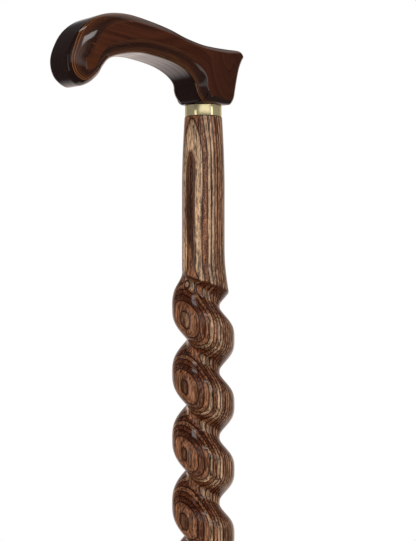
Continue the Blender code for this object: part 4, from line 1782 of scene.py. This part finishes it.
@dataclass
class Ferrule:
    """The rubber ferrule with its ribs, bell foot and ring tread, and the washer inside."""

    socket: float = 9.8 * MM
    sole: float = 9.0 * MM
    wall: float = 2.8 * MM
    lip: float = 2.5 * MM
    rib: float = 0.9 * MM
    ribs: int = 4
    ribs_bottom_share: float = 0.5
    rib_shares: tuple[float, ...] = (0.0, 0.2, 0.5, 0.7)
    lip_rounding: float = 0.4
    foot_band: float = 0.13
    bell_power: float = 1.8
    bell_steps: int = 10
    edge: float = 0.8 * MM
    pad_share: float = 0.3
    tread_depth: float = 1.2 * MM
    tread_rings: int = 2
    tread_shares: tuple[float, ...] = (0.45, 0.38, 0.07, 0.0)
    mould_angle: float = math.radians(25.0)
    mould_edge: float = 0.22 * MM
    washer_angle: float = math.radians(60.0)
    washer_edge: float = 0.3 * MM
    sides: int = 96
    rubber: MouldedRubber = field(default_factory=MouldedRubber)
    steel: ZincSteel = field(default_factory=ZincSteel)

    def __post_init__(self) -> None:
        """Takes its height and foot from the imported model."""
        _, high = node_box("ferrule")
        self.height = high.z
        self.foot = high.x

    def _profile(self) -> Profile:
        """Draws the half section.

        Returns:
            Its points, from the socket's floor up, over the lip, down and under.
        """
        tube = self.socket + self.wall
        ribs_top = self.height - self.lip
        ribs_bottom = self.ribs_bottom_share * self.height
        step = (ribs_top - ribs_bottom) / self.ribs
        profile = [(0.0, self.sole), (self.socket, self.sole), (self.socket, self.height),
                   (tube - self.lip_rounding * self.wall, self.height),
                   (tube, self.height - self.lip_rounding * self.lip)]
        rib_outs = (0.0, self.rib, self.rib, 0.0)
        for index in range(self.ribs):
            top = ribs_top - index * step
            profile += [(tube + out, top - share * step)
                        for share, out in zip(self.rib_shares, rib_outs)]
        bell = self.foot - tube
        band = self.foot_band * self.height
        profile += [(tube + bell * share ** self.bell_power,
                     band + (ribs_bottom - band) * (1.0 - share))
                    for share in np.linspace(0.0, 1.0, self.bell_steps + 1)]
        outer = self.foot - self.edge
        profile += [(self.foot, self.edge), (outer, 0.0)]
        ring = (outer - self.pad_share * self.foot) / self.tread_rings
        tread_depths = (0.0, self.tread_depth, self.tread_depth, 0.0)
        for index in range(self.tread_rings):
            inner = outer - (index + 1) * ring
            profile += [(inner + share * ring, depth)
                        for share, depth in zip(self.tread_shares, tread_depths)]
        return profile + [(0.0, 0.0)]

    def build(self) -> Workpiece:
        """Turns the ferrule and softens its edges as a mould does.

        Returns:
            The ferrule.
        """
        piece = Workpiece.lathe("ferrule_moulded", self._profile(), self.sides)
        piece.bevel_ridges(self.mould_angle, self.mould_edge)
        return piece

    def build_washer(self) -> Workpiece:
        """Turns the washer with a pressed edge.

        Returns:
            The washer.
        """
        low, high = node_box("ferrule_washer")
        profile = [(0.0, high.z), (high.x, high.z), (high.x, low.z), (0.0, low.z)]
        piece = Workpiece.lathe("washer_pressed", profile, self.sides)
        piece.bevel_ridges(self.washer_angle, self.washer_edge)
        return piece

    def dress(self, ferrule: Workpiece, washer: Workpiece) -> None:
        """Gives both their finish."""
        ferrule.finish(Body.FERRULE, Slot.RUBBER, "ferrule", self.rubber.material())
        washer.finish(Body.FERRULE, Slot.STEEL, "ferrule_washer", self.steel.material())


# Studio


@dataclass(frozen=True)
class Lamp:
    """An area lamp that shines at the cane.

    Its turn is counted from the camera's side, positive towards the right of the picture, and
    its rise from the level of the point that it shines at. A brightness of 1 is white paper's.
    """

    name: str
    turn: float
    rise: float
    distance: float
    width: float
    length: float
    brightness: float
    target_height: float = 0.78


@dataclass
class Studio:
    """Camera, lamps, world and floor."""

    picture_height: int = 541
    camera_angle: float = math.radians(-43.0)
    camera_distance: float = 0.518
    camera_shift_right: float = 0.00287
    camera_below_collar: float = 0.06037
    focal_pixels: float = 850.0
    horizon_row: float = 205.0
    sensor: float = 36.0
    clip: tuple[float, float] = (0.01, 50.0)
    ambient: float = 0.76
    side_level: float = 0.09
    front_level: float = 0.96
    front_turn: float = math.radians(11.0)
    front_card: Fade = Fade(0.66, 0.95)
    front_card_rise: Fade = Fade(-0.20, 0.10)
    back_card: Fade = Fade(-0.52, -0.92)
    back_card_rise: Fade = Fade(0.55, 0.15)
    high_card: Fade = Fade(0.0, -0.28)
    high_card_rise: Fade = Fade(0.60, 0.76)
    white: Colour = (1.0, 1.0, 1.0)
    warm_white: Colour = (1.0, 0.86, 0.80)
    floor_size: float = 12.0
    floor_drop: float = 0.05 * MM
    floor_fade: Fade = Fade(500.0, 1300.0)
    floor_tones: tuple[Colour, Colour] = ((0.84, 0.84, 0.84), (0.88, 0.88, 0.88))
    floor_cloud: Noise = Noise((0.02, 0.02, 0.0))
    floor_card_level: float = 1.43
    lamps: tuple[Lamp, ...] = (
        Lamp("strip_left", math.radians(-49.0), 0.0, 1.3, 0.30, 1.2, 1.1),
        Lamp("strip_right", math.radians(56.0), 0.0, 1.3, 0.27, 0.90, 1.45, 0.75),
        Lamp("overhead", math.radians(-4.0), math.radians(64.0), 1.5, 0.44, 0.16, 5.5),
        Lamp("key", math.radians(38.0), math.radians(38.0), 1.5, 0.46, 0.22, 5.4),
    )

    def _outwards(self, turn: float) -> Vector:
        """A level unit vector from the shaft's axis, turned to the right from the camera's side."""
        angle = self.camera_angle + turn
        return Vector((math.sin(angle), -math.cos(angle), 0.0))

    def place_camera(self) -> None:
        """Sets the camera where the picture was taken from."""
        data = bpy.data.cameras.new("camera")
        data.sensor_width = self.sensor
        data.lens = self.sensor * self.focal_pixels / self.picture_height
        data.shift_y = -(self.picture_height / 2.0 - self.horizon_row) / self.picture_height
        data.clip_start, data.clip_end = self.clip
        camera = bpy.data.objects.new("camera", data)
        bpy.context.scene.collection.objects.link(camera)
        _, collar_high = node_box("collar")
        camera.location = (self._outwards(0.0) * self.camera_distance
                           + self._outwards(math.pi / 2.0) * self.camera_shift_right)
        camera.location.z = collar_high.z - self.camera_below_collar
        camera.rotation_euler = (math.pi / 2.0, 0.0, self.camera_angle)
        bpy.context.scene.camera = camera

    def hang_lamps(self) -> None:
        """Hangs the lamps, each turned to the cane."""
        for lamp in self.lamps:
            data = bpy.data.lights.new(lamp.name, "AREA")
            data.shape = "RECTANGLE"
            data.size = lamp.width
            data.size_y = lamp.length
            data.energy = math.pi * lamp.width * lamp.length * lamp.brightness
            item = bpy.data.objects.new(lamp.name, data)
            bpy.context.scene.collection.objects.link(item)
            outwards = self._outwards(lamp.turn) * math.cos(lamp.rise)
            outwards.z = math.sin(lamp.rise)
            item.location = outwards * lamp.distance
            item.location.z += lamp.target_height
            item.rotation_euler = (-outwards).to_track_quat("-Z", "Y").to_euler()
            item.visible_camera = False

    def light_world(self) -> None:
        """Makes the surroundings white to the camera, and gives gloss cards to mirror.

        The cards are a white one low behind the cane, a white one high up, and a grey one in
        front. The sides are dim.
        """
        world = bpy.data.worlds.new("studio")
        world.use_nodes = True
        bpy.context.scene.world = world
        graph = Graph(world.node_tree)
        seen, glossy = graph.rays()
        direction = graph.node("ShaderNodeTexCoord").outputs["Generated"]
        ahead = graph.share_along(direction, self._outwards(0.0))
        aimed = graph.share_along(direction, self._outwards(self.front_turn))
        up = Value(graph, graph.node("ShaderNodeSeparateXYZ",
                                     inputs={0: direction}).outputs["Z"])
        card = graph.math("MAXIMUM", self.back_card.of(ahead) * self.back_card_rise.of(up),
                          self.high_card.of(ahead) * self.high_card_rise.of(up))
        front = (self.front_card.of(aimed) * self.front_card_rise.of(up)
                 * (self.front_level - self.side_level))
        mirrored = self.side_level + (1.0 - self.side_level) * card + front
        level = graph.math("MAXIMUM", seen, glossy * mirrored)
        plain = (1.0 - graph.math("MAXIMUM", seen, glossy)) * self.ambient
        colour = graph.mix(glossy * card, self.white, self.warm_white)
        shader = graph.node("ShaderNodeBackground",
                            inputs={"Color": colour, "Strength": level + plain})
        graph.node("ShaderNodeOutputWorld", inputs={"Surface": shader.outputs[0]})

    def _floor_material(self) -> bpy.types.Material:
        """Makes the floor pale and matt, white far off, and for gloss the low end of the cards.

        Returns:
            The material.
        """
        material, graph = new_material("pale_floor")
        place = graph.millimetres()
        x, y, _ = place
        far = self.floor_fade.of(graph.math("SQRT", x * x + y * y))
        pale = graph.mix(self.floor_cloud.at(place), *self.floor_tones)
        matt = graph.node("ShaderNodeBsdfDiffuse", inputs={"Color": pale})
        glow = graph.node("ShaderNodeEmission", inputs={"Color": self.white})
        seen, glossy = graph.rays()
        paper = graph.node("ShaderNodeMixShader", inputs={
            0: seen * far, 1: matt.outputs[0], 2: glow.outputs[0]})
        towards = self._outwards(0.0)
        ahead = (x * towards.x + y * towards.y) / graph.math("SQRT", x * x + y * y + 1.0)
        card = self.back_card.of(ahead)
        mirrored = graph.node("ShaderNodeEmission", inputs={
            "Color": graph.mix(card, self.white, self.warm_white),
            "Strength": self.side_level + (self.floor_card_level - self.side_level) * card})
        both = graph.node("ShaderNodeMixShader", inputs={
            0: glossy, 1: paper.outputs[0], 2: mirrored.outputs[0]})
        graph.node("ShaderNodeOutputMaterial", inputs={"Surface": both.outputs[0]})
        return material

    def lay_floor(self) -> None:
        """A pale floor that fades into the white far from the cane.

        The ferrule stands on it, so it stays under the ferrule when that is pulled off.
        """
        bpy.ops.object.select_all(action="DESELECT")
        bpy.ops.mesh.primitive_plane_add(size=self.floor_size)
        floor = bpy.context.object
        floor.name = "floor"
        floor.data.materials.append(self._floor_material())
        floor.location.z = -self.floor_drop
        bpy.ops.object.transform_apply(location=True, rotation=True, scale=True)
        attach(floor, Body.FERRULE.value)

    def set_up(self) -> None:
        """Sets up everything round the cane."""
        self.place_camera()
        self.hang_lamps()
        self.light_world()
        self.lay_floor()
        bpy.context.scene.view_settings.view_transform = "Standard"
        log.info("studio: %d lamps, a floor and a camera", len(self.lamps))


def main() -> None:
    """Builds and dresses the cane, then sets up the studio."""
    logging.basicConfig(level=logging.INFO, format="%(name)s: %(message)s")
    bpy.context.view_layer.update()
    shaft = Shaft()
    shaft.dress(shaft.build())
    handle = Handle()
    handle.dress(handle.build())
    collar = Collar()
    collar.dress(collar.build())
    fasteners = Fasteners()
    fasteners.dress(fasteners.build_stud(), fasteners.build_insert())
    ferrule = Ferrule()
    ferrule.dress(ferrule.build(), ferrule.build_washer())
    Studio().set_up()


if __name__ == "__main__":
    main()
